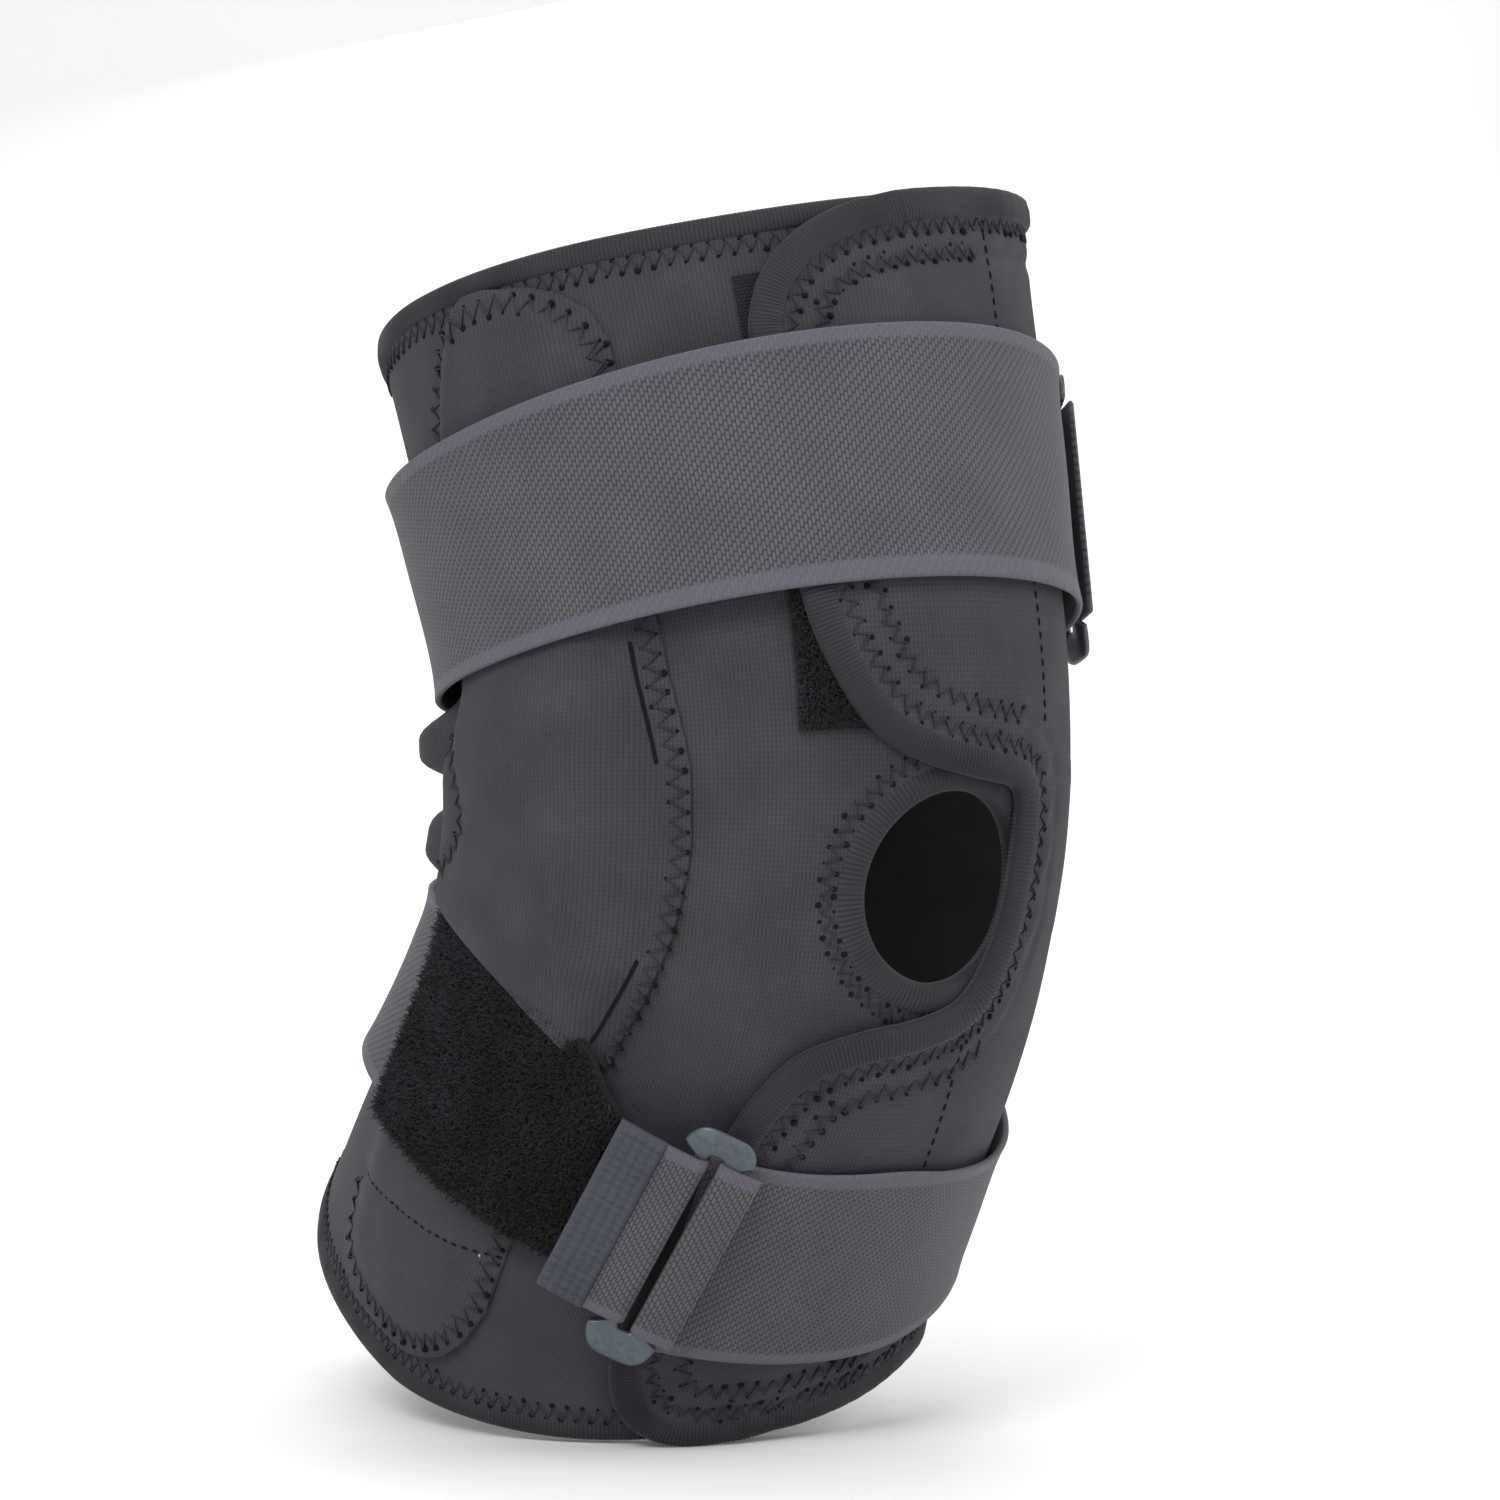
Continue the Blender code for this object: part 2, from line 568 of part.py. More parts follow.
def turned(name, profile, slot, pivot, mirror, sides=24):
    """A solid of revolution about the hinge axis, from (distance, radius) pairs, closed at both ends."""
    angles = np.linspace(0, 2 * math.pi, sides, endpoint=False)
    rings = [np.stack([-mirror * x + 0 * angles, r * np.cos(angles), r * np.sin(angles)], 1) for x, r in profile]
    vertices = np.concatenate(rings)
    faces = [tuple(range(sides)), tuple(range((len(rings) - 1) * sides, len(rings) * sides))[::-1]]
    for k in range(len(rings) - 1):
        for i in range(sides):
            j = (i + 1) % sides
            faces.append((k * sides + i, (k + 1) * sides + i, (k + 1) * sides + j, k * sides + j))
    return finish(name, vertices, faces, slot, pivot)


def bar(name, sign, angle, layer, slot, pivot, mirror):
    """A flat bar with a round head on the hinge axis, bent to follow the side of the leg."""
    heads = np.linspace(-HEAD_RADIUS * 0.995, math.sqrt(HEAD_RADIUS**2 - (BAR_WIDTH / 2) ** 2), 12)
    rows = [(z, math.sqrt(HEAD_RADIUS**2 - z * z)) for z in heads]
    rows += [(z, BAR_WIDTH / 2) for z in np.linspace(heads[-1], BAR_LENGTH - BAR_WIDTH / 2, 9)[1:]]
    for a in np.linspace(20, 84, 4):
        z = BAR_LENGTH - BAR_WIDTH / 2 * (1 - math.sin(math.radians(a)))
        rows.append((z, BAR_WIDTH / 2 * math.cos(math.radians(a))))
    z = np.array([r[0] for r in rows])
    half = np.array([r[1] for r in rows])
    bent = ramp(z, HEAD_RADIUS + 0.003, BEND_REACH)[:, None]
    along = up(np.array(angle)) * sign
    side = back(np.array(angle))
    forward = np.maximum(z, 0.0) * math.tan(math.radians(BAR_SPREAD))
    place = np.maximum(z, BEND_REACH + 0.002)
    s = sign * place
    phi = np.degrees(np.arccos(forward / section(s)[1]))
    around = on_leg(s, phi + 1.0, 0.0) - on_leg(s, phi - 1.0, 0.0)
    around /= np.linalg.norm(around, axis=1)[:, None]
    grid = []
    for depth in (0.0, BAR):
        flat = along * z[:, None] - side * forward[:, None]
        resting = on_leg(s, phi, NEOPRENE + GAP + BEDDING + depth) + along * (z - place)[:, None]
        edges = []
        for turn in (-1, 1):
            head = flat + turn * side * half[:, None]
            head[:, 0] = -(layer[0] + depth)
            edges.append(head * (1 - bent) + (resting + turn * around * half[:, None]) * bent)
            edges[-1][:, 0] *= mirror
        grid.append(np.stack(edges, 1))
    return shell(name, grid[0], grid[1], slot, pivot)


def hole_cutter(name, radius, low, high, mirror, pivot, centre=(0.0, 0.0)):
    made = disc(name, radius, low - 0.002, high + 0.002, "hinge_cap", pivot, mirror, centre=centre, sides=24)
    made.hide_render = True
    made.display_type = "WIRE"
    return made


def slot_cutter(name, low, high, mirror, pivot):
    """A curved slot with square ends that the stop pin travels in."""
    middle_angle = pin_angle()
    start = middle_angle - math.radians(EXTEND) - (PIN_RADIUS + GAP) / PIN_RING
    end = middle_angle + math.radians(FLEX) + (PIN_RADIUS + GAP) / PIN_RING
    angles = np.linspace(start, end, 16)
    grids = []
    for x in (low - 0.002, high + 0.002):
        rings = []
        for r in (PIN_RING - PIN_RADIUS - GAP, PIN_RING + PIN_RADIUS + GAP):
            rings.append(np.stack([-mirror * x + 0 * angles, r * np.cos(angles), r * np.sin(angles)], 1))
        grids.append(np.stack(rings, 1))
    made = shell(name, grids[0], grids[1], "hinge_cap", pivot)
    made.hide_render = True
    made.display_type = "WIRE"
    return made


def pin_angle():
    """Direction of the stop pin at rest, in the YZ plane: across the head, to the back."""
    return math.radians(PIN_PHI)


def cut(target, tool):
    boolean = target.modifiers.new(tool.name, "BOOLEAN")
    boolean.operation = "DIFFERENCE"
    boolean.solver = "EXACT"
    boolean.object = tool


def hinge(side, mirror, thigh, calf):
    layers = hinge_stack()
    bore = RIVET_RADIUS + BORE_CLEARANCE
    pin = (PIN_RING * math.cos(pin_angle()), PIN_RING * math.sin(pin_angle()))
    thigh_bar = bar(f"{side}_thigh_bar", 1, THIGH_LEAN, layers["thigh_bar"], "bar_metal", thigh, mirror)
    calf_bar = bar(f"{side}_calf_bar", -1, CALF_LEAN, layers["calf_bar"], "bar_metal", calf, mirror)
    cut(thigh_bar, hole_cutter(f"{side}_thigh_bore", bore, *layers["thigh_bar"], mirror, thigh))
    cut(thigh_bar, slot_cutter(f"{side}_stop_slot", *layers["thigh_bar"], mirror, thigh))
    cut(calf_bar, hole_cutter(f"{side}_calf_bore", bore, *layers["calf_bar"], mirror, calf))
    cut(calf_bar, hole_cutter(f"{side}_pin_bore", PIN_RADIUS + GAP, *layers["calf_bar"], mirror, calf, pin))
    disc(f"{side}_condyle_pad", HEAD_RADIUS, *layers["pad"], "pad_foam", thigh, mirror,
         hole=RIVET_HEAD_RADIUS + 0.0008)
    disc(f"{side}_hinge_cap", HEAD_RADIUS, *layers["cap"], "hinge_cap", thigh, mirror,
         hole=RIVET_HEAD_RADIUS + GAP)
    inner = layers["calf_bar"][0] - GAP
    outer = layers["thigh_bar"][1] + GAP
    turned(f"{side}_pivot_rivet", ((inner - RIVET_HEAD, RIVET_HEAD_RADIUS), (inner, RIVET_HEAD_RADIUS),
           (inner, RIVET_RADIUS), (outer, RIVET_RADIUS), (outer, RIVET_HEAD_RADIUS),
           (outer + RIVET_HEAD, RIVET_HEAD_RADIUS * 0.8)), "rivet_metal", thigh, mirror)
    disc(f"{side}_stop_pin", PIN_RADIUS, layers["calf_bar"][0], layers["thigh_bar"][1], "rivet_metal",
         calf, mirror, centre=pin, sides=12)


# Straps


def strap_rise(s, phi):
    """Straps lie on the flap in front and on the pockets at the sides, and sink to the wrap behind."""
    turned_phi = np.abs((np.asarray(phi, float) + 180.0) % 360.0 - 180.0)
    over = NEOPRENE + 2 * PATCH + 4 * GAP + 2 * BEDDING + FLAP + TAPE_PROUD
    low = NEOPRENE + GAP + BEDDING
    return low + (over - low + GAP) * (1 - ramp(turned_phi, 112.0, 150.0)) + 0 * s


def frame_at(s_range, phi, turn):
    """Middle, length direction (up the leg), outward and round-the-leg directions under a strap."""
    s_mid = np.array(sum(s_range) / 2)
    here = on_leg(s_mid, phi, strap_rise(s_mid, phi))
    outward = on_leg(s_mid, phi, 0.02) - on_leg(s_mid, phi, 0.0)
    around = on_leg(s_mid, phi + 1.0, 0.0) - on_leg(s_mid, phi - 1.0, 0.0)
    outward, around = outward / np.linalg.norm(outward), around / np.linalg.norm(around)
    length = on_leg(s_range[1], phi - turn, 0.0) - on_leg(s_range[0], phi + turn, 0.0)
    span = float(np.linalg.norm(length))
    length /= span
    flat = np.cross(around, length)
    flat /= np.linalg.norm(flat)
    outward = flat * np.sign(np.dot(flat, outward))
    around -= length * np.dot(around, length)
    around /= np.linalg.norm(around)
    return here, length, outward, around, span


def tube_ring(name, path, radius, slot, pivot, sides=8):
    """A closed round bar along a closed path."""
    path = np.asarray(path)
    count = len(path)
    rings = []
    plane = np.cross(path[count // 4] - path[0], path[count // 2] - path[0])
    plane /= np.linalg.norm(plane)
    for i in range(count):
        tangent = path[(i + 1) % count] - path[i - 1]
        tangent /= np.linalg.norm(tangent)
        side = np.cross(plane, tangent)
        side /= np.linalg.norm(side)
        ring = []
        for a in np.linspace(0, 2 * math.pi, sides, endpoint=False):
            ring.append(path[i] + radius * (math.cos(a) * side + math.sin(a) * plane))
        rings.append(ring)
    vertices = np.array(rings).reshape(-1, 3)
    faces = []
    for i in range(count):
        j = (i + 1) % count
        for k in range(sides):
            n = (k + 1) % sides
            faces.append((i * sides + k, j * sides + k, j * sides + n, i * sides + n))
    return finish(name, vertices, faces, slot, pivot)


def buckle_geometry(s_range, phi, turn, direction):
    """Axes and bars of a slot buckle. direction is +1 where its tail runs toward larger phi."""
    here, length, outward, around, span = frame_at(s_range, phi, turn)
    lift = BUCKLE_WIRE + STRAP + BUCKLE_LIFT
    centre = here + outward * lift
    toward = around * direction
    pitch = (BUCKLE_SLOT + 2 * BUCKLE_WIRE) / 2
    return centre, length, outward, toward, span, pitch


def swept(name, inner, outer, axis, span, slot, pivot):
    """A strip of the strap's width whose edge-on outline runs along inner and back along outer."""
    grids = []
    for line in (inner, outer):
        line = np.asarray(line)
        grids.append(np.stack([line - axis * span / 2, line + axis * span / 2], 1))
    return shell(name, grids[0], grids[1], slot, pivot)


def fastening(part, s_range, phi, turn, direction, body, tail_pivot):
    """A slot buckle, the elastic sewn round one bar, and the tail folded round the other."""
    centre, length, outward, toward, span, pitch = buckle_geometry(s_range, phi, turn, direction)
    half = span / 2 + BUCKLE_OVERHANG
    corner = pitch
    path = []
    for along, base in ((1, 0), (-1, 180)):
        for a in np.linspace(0, 180, 9):
            angle = math.radians(base + a)
            path.append(centre + length * (along * (half - corner) + corner * math.sin(angle))
                        + toward * pitch * math.cos(angle))
    tube_ring(f"{part}_buckle", path, BUCKLE_WIRE, "buckle", body)
    hold = BUCKLE_WIRE + GAP
    # tail: round the bar on its own side, then back along the leg over the pile strap
    start = centre + toward * pitch
    inner, outer = [], []
    for a in np.linspace(160, 90, 6):
        radial = math.cos(math.radians(a)) * toward + math.sin(math.radians(a)) * outward
        inner.append(start + radial * hold)
        outer.append(start + radial * (hold + STRAP))
    for d in np.linspace(0, TAIL_LENGTH, 5)[1:]:
        sag = drop(d)
        inner.append(start + outward * (hold - sag) + toward * d)
        outer.append(start + outward * (hold + STRAP - sag) + toward * d)
    tail_span = span - 2 * GAP
    swept(f"{part}_strap_tail", inner, outer, length, tail_span, "strap_elastic", tail_pivot)
    inner, outer = [], []
    for d in np.linspace(TAIL_LENGTH + GAP, TAIL_LENGTH + TAB_LENGTH, 4):
        sag = drop(d)
        inner.append(start + outward * (hold - sag) + toward * d)
        outer.append(start + outward * (hold + TAB - sag) + toward * d)
    swept(f"{part}_tail_tab", inner, outer, length, tail_span, "ribbed_tape", tail_pivot)
    # loop: round the other bar
    start = centre - toward * pitch
    inner, outer = [], []
    for a in np.linspace(-20, 90, 8):
        radial = math.cos(math.radians(a)) * toward + math.sin(math.radians(a)) * outward
        inner.append(start + radial * hold)
        outer.append(start + radial * (hold + STRAP))
    for d in np.linspace(0, LOOP_LENGTH, 3)[1:]:
        inner.append(start + outward * hold - toward * d)
        outer.append(start + outward * (hold + STRAP) - toward * d)
    swept(f"{part}_buckle_loop", inner, outer, length, tail_span, "strap_elastic", body)


def drop(d):
    """How far the tail bows toward the leg at a distance from its bar."""
    return 0.5 * d * d / (LEG_RADIUS + 0.012)


def tail_axis(s_range, phi, turn, direction):
    """The bar that a tail peels round: a point on it, and its direction, so that turning it lifts the tail."""
    centre, length, outward, toward, span, pitch = buckle_geometry(s_range, phi, turn, direction)
    lifts = np.sign(np.dot(np.cross(length, toward), outward))
    return centre + toward * pitch, length * lifts


def strap_pair(part, s_range, pile_range, phi, seam_phi, direction, body):
    """The elastic from the buckle round the leg to its seam behind, and the pile strap beyond the seam."""
    share = math.degrees((BUCKLE_SLOT + 2 * BUCKLE_WIRE) / 2 / LEG_RADIUS) * 0.4
    seam = seam_phi if direction < 0 else seam_phi - 360.0
    pile_seam = (seam_phi - 360.0 if direction < 0 else seam_phi) - 0.4 * direction
    sheet(f"{part}_strap", steps(phi - direction * share, seam, 6.0), *s_range, strap_rise, STRAP,
          "strap_elastic", body, rows=1)
    sheet(f"{part}_pile_strap", steps(phi + direction * share, pile_seam, 6.0), *pile_range, strap_rise,
          STRAP - 0.0001, "loop_pile", body, rows=1)


def empty(name, location, parent=None):
    made = bpy.data.objects.new(name, None)
    made.location = [float(v) for v in location]
    made.empty_display_size = 0.02
    bpy.context.scene.collection.objects.link(made)
    made.parent = parent
    return made


def main():
    clear_scene()
    thigh = empty("thigh_frame", (0, 0, 0))
    calf = empty("calf_frame", (0, 0, 0))
    closure("thigh", 1, thigh)
    closure("calf", -1, calf)
    knee_panels(thigh)
    for side, mirror in (("lateral", 1), ("medial", -1)):
        pockets(side, mirror, thigh, calf)
        hinge(side, mirror, thigh, calf)
    for part, s_range, pile_range, buckle_range, phi, turn, seam_phi, direction, body in (
        ("thigh", THIGH_STRAP, THIGH_STRAP, THIGH_STRAP, THIGH_BUCKLE_PHI, THIGH_BUCKLE_TURN,
         THIGH_SEAM_PHI, -1, thigh),
        ("calf", CALF_STRAP, CALF_PILE_STRAP, CALF_BUCKLE, CALF_BUCKLE_PHI, CALF_BUCKLE_TURN,
         CALF_SEAM_PHI, 1, calf),
    ):
        place, axis = tail_axis(buckle_range, phi, turn, direction)
        tail = empty(part + "_tail_hinge", place)
        print(f"{part} tail hinge: pos_m {np.round(place, 6).tolist()}, axis {np.round(axis, 6).tolist()}")
        fastening(part, buckle_range, phi, turn, direction, body, tail)
        strap_pair(part, s_range, pile_range, phi, seam_phi, direction, body)


main()
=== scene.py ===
import math

import bmesh
import bpy
import numpy as np
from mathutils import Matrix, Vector, noise


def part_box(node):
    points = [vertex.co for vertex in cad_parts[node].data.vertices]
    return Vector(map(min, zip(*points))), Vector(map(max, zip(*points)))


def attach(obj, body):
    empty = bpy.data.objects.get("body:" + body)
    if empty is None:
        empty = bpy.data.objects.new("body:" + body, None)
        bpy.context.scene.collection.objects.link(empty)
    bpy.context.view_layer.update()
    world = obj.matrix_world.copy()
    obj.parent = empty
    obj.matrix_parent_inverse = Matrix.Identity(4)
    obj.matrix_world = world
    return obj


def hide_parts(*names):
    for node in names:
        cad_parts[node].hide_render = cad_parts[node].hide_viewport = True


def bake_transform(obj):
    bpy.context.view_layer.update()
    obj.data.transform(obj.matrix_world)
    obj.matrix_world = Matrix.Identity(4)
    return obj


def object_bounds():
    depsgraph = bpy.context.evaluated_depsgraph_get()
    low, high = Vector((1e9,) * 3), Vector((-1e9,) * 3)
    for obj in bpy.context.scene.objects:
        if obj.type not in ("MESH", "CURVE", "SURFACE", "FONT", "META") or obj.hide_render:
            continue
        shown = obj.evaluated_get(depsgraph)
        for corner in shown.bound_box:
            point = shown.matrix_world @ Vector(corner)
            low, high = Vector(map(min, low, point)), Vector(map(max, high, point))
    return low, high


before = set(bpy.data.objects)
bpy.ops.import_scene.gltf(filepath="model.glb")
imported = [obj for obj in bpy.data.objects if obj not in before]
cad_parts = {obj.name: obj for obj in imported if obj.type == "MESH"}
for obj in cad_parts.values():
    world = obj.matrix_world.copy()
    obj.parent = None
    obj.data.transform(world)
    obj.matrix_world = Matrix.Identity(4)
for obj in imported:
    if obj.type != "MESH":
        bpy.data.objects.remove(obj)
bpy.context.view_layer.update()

print("frame loaded:", len(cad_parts), "nodes")

# The leg that the brace is cut for. s runs up the leg from the knee, phi goes round it in degrees
# (0 front, 90 outer side, 180 back, -90 inner side), and out is the distance from the skin. Metres.
leg = {
    "thighLean": math.radians(15.0),
    "calfLean": math.radians(-27.0),
    "bendReach": 0.045,
    "hem": 0.139,
    "hemSlant": 0.006,
    "topSlantPhi": -55.0,
    "bottomSlantPhi": 130.0,
    "trimFrom": 0.72,
    "topDip": 0.005,
    "topDipPhi": 20.0,
    "bottomRaise": 0.008,
    "bottomTilt": 0.016,
    "bottomTiltPhi": 117.0,
    "roundRadius": 0.076,
    # s, half width, depth in front, depth behind
    "sections": (
        (-0.145, 0.063, 0.063, 0.101),
        (-0.100, 0.066, 0.066, 0.088),
        (-0.050, 0.065, 0.068, 0.072),
        (0.000, 0.066, 0.073, 0.062),
        (0.050, 0.069, 0.078, 0.059),
        (0.100, 0.074, 0.081, 0.063),
        (0.150, 0.078, 0.083, 0.068),
    ),
}
degPerMetre = math.degrees(1 / leg["roundRadius"])
measureOut = 0.006  # how far off the skin lengths along the cloth are measured
frontStretch = 1.59  # the bent front is this much longer than the centre line


def ramp(value, start, end):
    t = np.clip((np.asarray(value, float) - start) / (end - start), 0, 1)
    return t * t * (3 - 2 * t)


def bump(value, centre, width):
    return np.exp(-(((np.asarray(value, float) - centre) / width) ** 2))


def legSection(s):
    table = np.array(leg["sections"])
    places = table[:, 0]
    slopes = np.gradient(table, places, axis=0)
    s = np.clip(s, places[0], places[-1])
    i = np.clip(np.searchsorted(places, s) - 1, 0, len(places) - 2)
    span = (places[i + 1] - places[i])[..., None]
    t = (s - places[i])[..., None] / span
    value = (2 * t**3 - 3 * t**2 + 1) * table[i] + (t**3 - 2 * t**2 + t) * span * slopes[i]
    value = value + (3 * t**2 - 2 * t**3) * table[i + 1] + (t**3 - t**2) * span * slopes[i + 1]
    return value[..., 1], value[..., 2], value[..., 3]


def legLean(s):
    share = np.clip((s + leg["bendReach"]) / (2 * leg["bendReach"]), 0, 1)
    return leg["calfLean"] + share * (leg["thighLean"] - leg["calfLean"])


def upDir(angle):
    return np.stack([0 * angle, np.sin(angle), np.cos(angle)], -1)


def backDir(angle):
    return np.stack([0 * angle, np.cos(angle), -np.sin(angle)], -1)


def onLeg(s, phi, out):
    s, phi, out = np.broadcast_arrays(np.asarray(s, float), np.asarray(phi, float), np.asarray(out, float))
    reach, hem = leg["bendReach"], leg["hem"]
    topTurn, bottomTurn = np.radians(phi - leg["topSlantPhi"]), np.radians(phi - leg["bottomSlantPhi"])
    topShare = np.clip((s - reach) / (hem - reach), 0, 1.1)
    bottomShare = np.clip((-s - reach) / (hem - reach), 0, 1.1)
    topTrim = np.clip((s / hem - leg["trimFrom"]) / (1 - leg["trimFrom"]), 0, 1.1)
    bottomTrim = np.clip((-s / hem - leg["trimFrom"]) / (1 - leg["trimFrom"]), 0, 1.1)
    dip = -0.4 * leg["topDip"] - leg["topDip"] * np.cos(2 * np.radians(phi - leg["topDipPhi"]))
    tilt = leg["bottomRaise"] - leg["bottomTilt"] * np.cos(np.radians(phi - leg["bottomTiltPhi"]))
    slant = leg["hemSlant"] * (np.cos(topTurn) * topShare - np.cos(bottomTurn) * bottomShare)
    s = s + slant + dip * topTrim + tilt * bottomTrim
    bend = leg["thighLean"] - leg["calfLean"]
    radius = 2 * reach / bend
    arcCentre = backDir(np.array((leg["thighLean"] + leg["calfLean"]) / 2)) * radius / math.cos(bend / 2)
    beyond = np.where(s > reach, s - reach, np.where(s < -reach, s + reach, 0))
    lean = legLean(s)
    middle = arcCentre - radius * backDir(lean) + upDir(lean) * beyond[..., None]
    angle = np.radians(phi)
    width, front, behind = legSection(s)
    depth = np.where(np.cos(angle) > 0, front, behind)
    normal = np.stack([-depth * np.sin(angle), -width * np.cos(angle)], -1)
    normal /= np.linalg.norm(normal, axis=-1)[..., None]
    across = -width * np.sin(angle) + normal[..., 0] * out
    backward = -depth * np.cos(angle) + normal[..., 1] * out
    points = middle + backDir(lean) * backward[..., None]
    points[..., 0] += across
    return points


def wobble(s, phi, size, seed):
    flat = zip(np.ravel(s), np.ravel(phi))
    at = leg["roundRadius"] / size
    values = [noise.noise(Vector((a / size, math.radians(b) * at, seed))) for a, b in flat]
    return np.array(values).reshape(np.shape(s))


def newPiece(name, vertices, faces, material, uvs=None):
    mesh = bpy.data.meshes.new(name)
    mesh.from_pydata(np.asarray(vertices).tolist(), [], [tuple(map(int, f)) for f in faces])
    if uvs is not None:
        layer = mesh.uv_layers.new(name="UVMap")
        index = np.empty(len(mesh.loops), dtype=np.int32)
        mesh.loops.foreach_get("vertex_index", index)
        layer.data.foreach_set("uv", np.asarray(uvs, dtype=np.float32)[index].ravel())
    mesh.shade_smooth()
    mesh.materials.append(material)
    piece = bpy.data.objects.new(name, mesh)
    bpy.context.scene.collection.objects.link(piece)
    return piece


def edgeSteps(low, high, step, edge):
    span = high - low
    inner = np.linspace(low + edge, high - edge, max(2, int(round((span - 2 * edge) / step)) + 1))
    lead = edge * np.array([0, 0.08, 0.3, 0.62])
    return np.concatenate([low + lead, inner, (high - lead)[::-1]])


def roundShare(count):
    share = np.ones(count)
    lead = np.sqrt(1 - (1 - np.array([0, 0.08, 0.3, 0.62])) ** 2)
    share[:4] = lead
    share[-4:] = lead[::-1]
    return share


def sheetPiece(name, s, phi, out, thick, material, keep=None, across=None):
    rows, columns = s.shape
    share = np.minimum(roundShare(rows)[:, None], roundShare(columns)[None, :])
    centre = out + thick / 2
    outer = onLeg(s, phi, centre + thick / 2 * share)
    inner = onLeg(s, phi, centre - thick / 2 * share)
    count = rows * columns
    index = np.arange(count).reshape(rows, columns)
    innerIndex = index + count
    border = np.zeros((rows, columns), bool)
    border[0], border[-1], border[:, 0], border[:, -1] = True, True, True, True
    innerIndex = np.where(border, index, innerIndex)
    faces = []
    kept = np.ones((rows + 1, columns + 1), bool)
    if keep is not None:
        kept[1:-1, 1:-1] = keep
    for i in range(rows - 1):
        for j in range(columns - 1):
            if not kept[i + 1, j + 1]:
                continue
            corners = ((i, j), (i, j + 1), (i + 1, j + 1), (i + 1, j))
            faces.append([index[c] for c in corners])
            faces.append([innerIndex[c] for c in reversed(corners)])
            for k, (di, dj) in enumerate(((-1, 0), (0, 1), (1, 0), (0, -1))):
                if not kept[i + 1 + di, j + 1 + dj]:
                    a, b = corners[k], corners[(k + 1) % 4]
                    faces.append([index[b], index[a], innerIndex[a], innerIndex[b]])
    vertices = np.concatenate([outer.reshape(-1, 3), inner.reshape(-1, 3)])
    uv = np.stack([np.radians(phi) * leg["roundRadius"], s if across is None else across], -1).reshape(-1, 2)
    uvs = np.concatenate([uv, uv])
    return cleaned(newPiece(name, vertices, faces, material, uvs))


def cleaned(piece):
    work = bmesh.new()
    work.from_mesh(piece.data)
    bmesh.ops.delete(work, geom=[v for v in work.verts if not v.link_faces], context="VERTS")
    bmesh.ops.remove_doubles(work, verts=work.verts, dist=1e-6)
    bmesh.ops.dissolve_degenerate(work, edges=work.edges, dist=1e-6)
    bmesh.ops.recalc_face_normals(work, faces=work.faces)
    work.to_mesh(piece.data)
    work.free()
    piece.data.shade_smooth()
    return piece


def pathFrame(path, out, closed=False):
    s, phi = path[:, 0], path[:, 1]
    points = onLeg(s, phi, out)
    outward = onLeg(s, phi, out + 0.003) - points
    outward /= np.linalg.norm(outward, axis=1)[:, None]
    if closed:
        tangent = np.roll(points, -1, 0) - np.roll(points, 1, 0)
    else:
        tangent = np.gradient(points, axis=0)
    tangent /= np.linalg.norm(tangent, axis=1)[:, None]
    side = np.cross(tangent, outward)
    side /= np.linalg.norm(side, axis=1)[:, None]
    return points, tangent, outward, side


def tapePiece(name, path, out, width, thick, material, closed=False, inset=0.5, rib=0.00012, sides=12):
    points, _, outward, side = pathFrame(path, out, closed)
    count = len(points)
    ribs = 1 + rib / (thick / 2) * np.where(np.arange(count) % 2 == 0, 1.0, -1.0)
    centre = points + side * (width * (inset - 0.5))
    rings = []
    for a in np.linspace(0, 2 * math.pi, sides, endpoint=False):
        c, n = math.cos(a), math.sin(a)
        x = math.copysign(abs(c) ** 0.6, c) * width / 2
        y = math.copysign(abs(n) ** 0.75, n) * thick / 2
        rings.append(centre + side * x + outward * (y * ribs)[:, None])
    vertices = np.stack(rings, 1).reshape(-1, 3)
    faces = []
    for i in range(count if closed else count - 1):
        j = (i + 1) % count
        for k in range(sides):
            n = (k + 1) % sides
            faces.append((i * sides + k, i * sides + n, j * sides + n, j * sides + k))
    if not closed:
        faces.append(tuple(range(sides))[::-1])
        faces.append(tuple((count - 1) * sides + k for k in range(sides)))
    length = np.concatenate([[0], np.cumsum(np.linalg.norm(np.diff(points, axis=0), axis=1))])
    uvs = np.stack([np.repeat(length, sides), np.tile(np.linspace(0, width * 2, sides), count)], 1)
    return cleaned(newPiece(name, vertices, faces, material, uvs))


def offsetPath(path, distance, closed=False):
    s, phi = path[:, 0], path[:, 1]
    _, _, _, side = pathFrame(path, 0.004, closed)
    alongS = (onLeg(s + 0.001, phi, 0.004) - onLeg(s - 0.001, phi, 0.004)) / 0.002
    alongPhi = (onLeg(s, phi + 0.5, 0.004) - onLeg(s, phi - 0.5, 0.004)) / 1.0
    ds = (side * alongS).sum(1) / (alongS**2).sum(1) * distance
    dphi = (side * alongPhi).sum(1) / (alongPhi**2).sum(1) * distance
    return np.stack([s + ds, phi + dphi], 1)


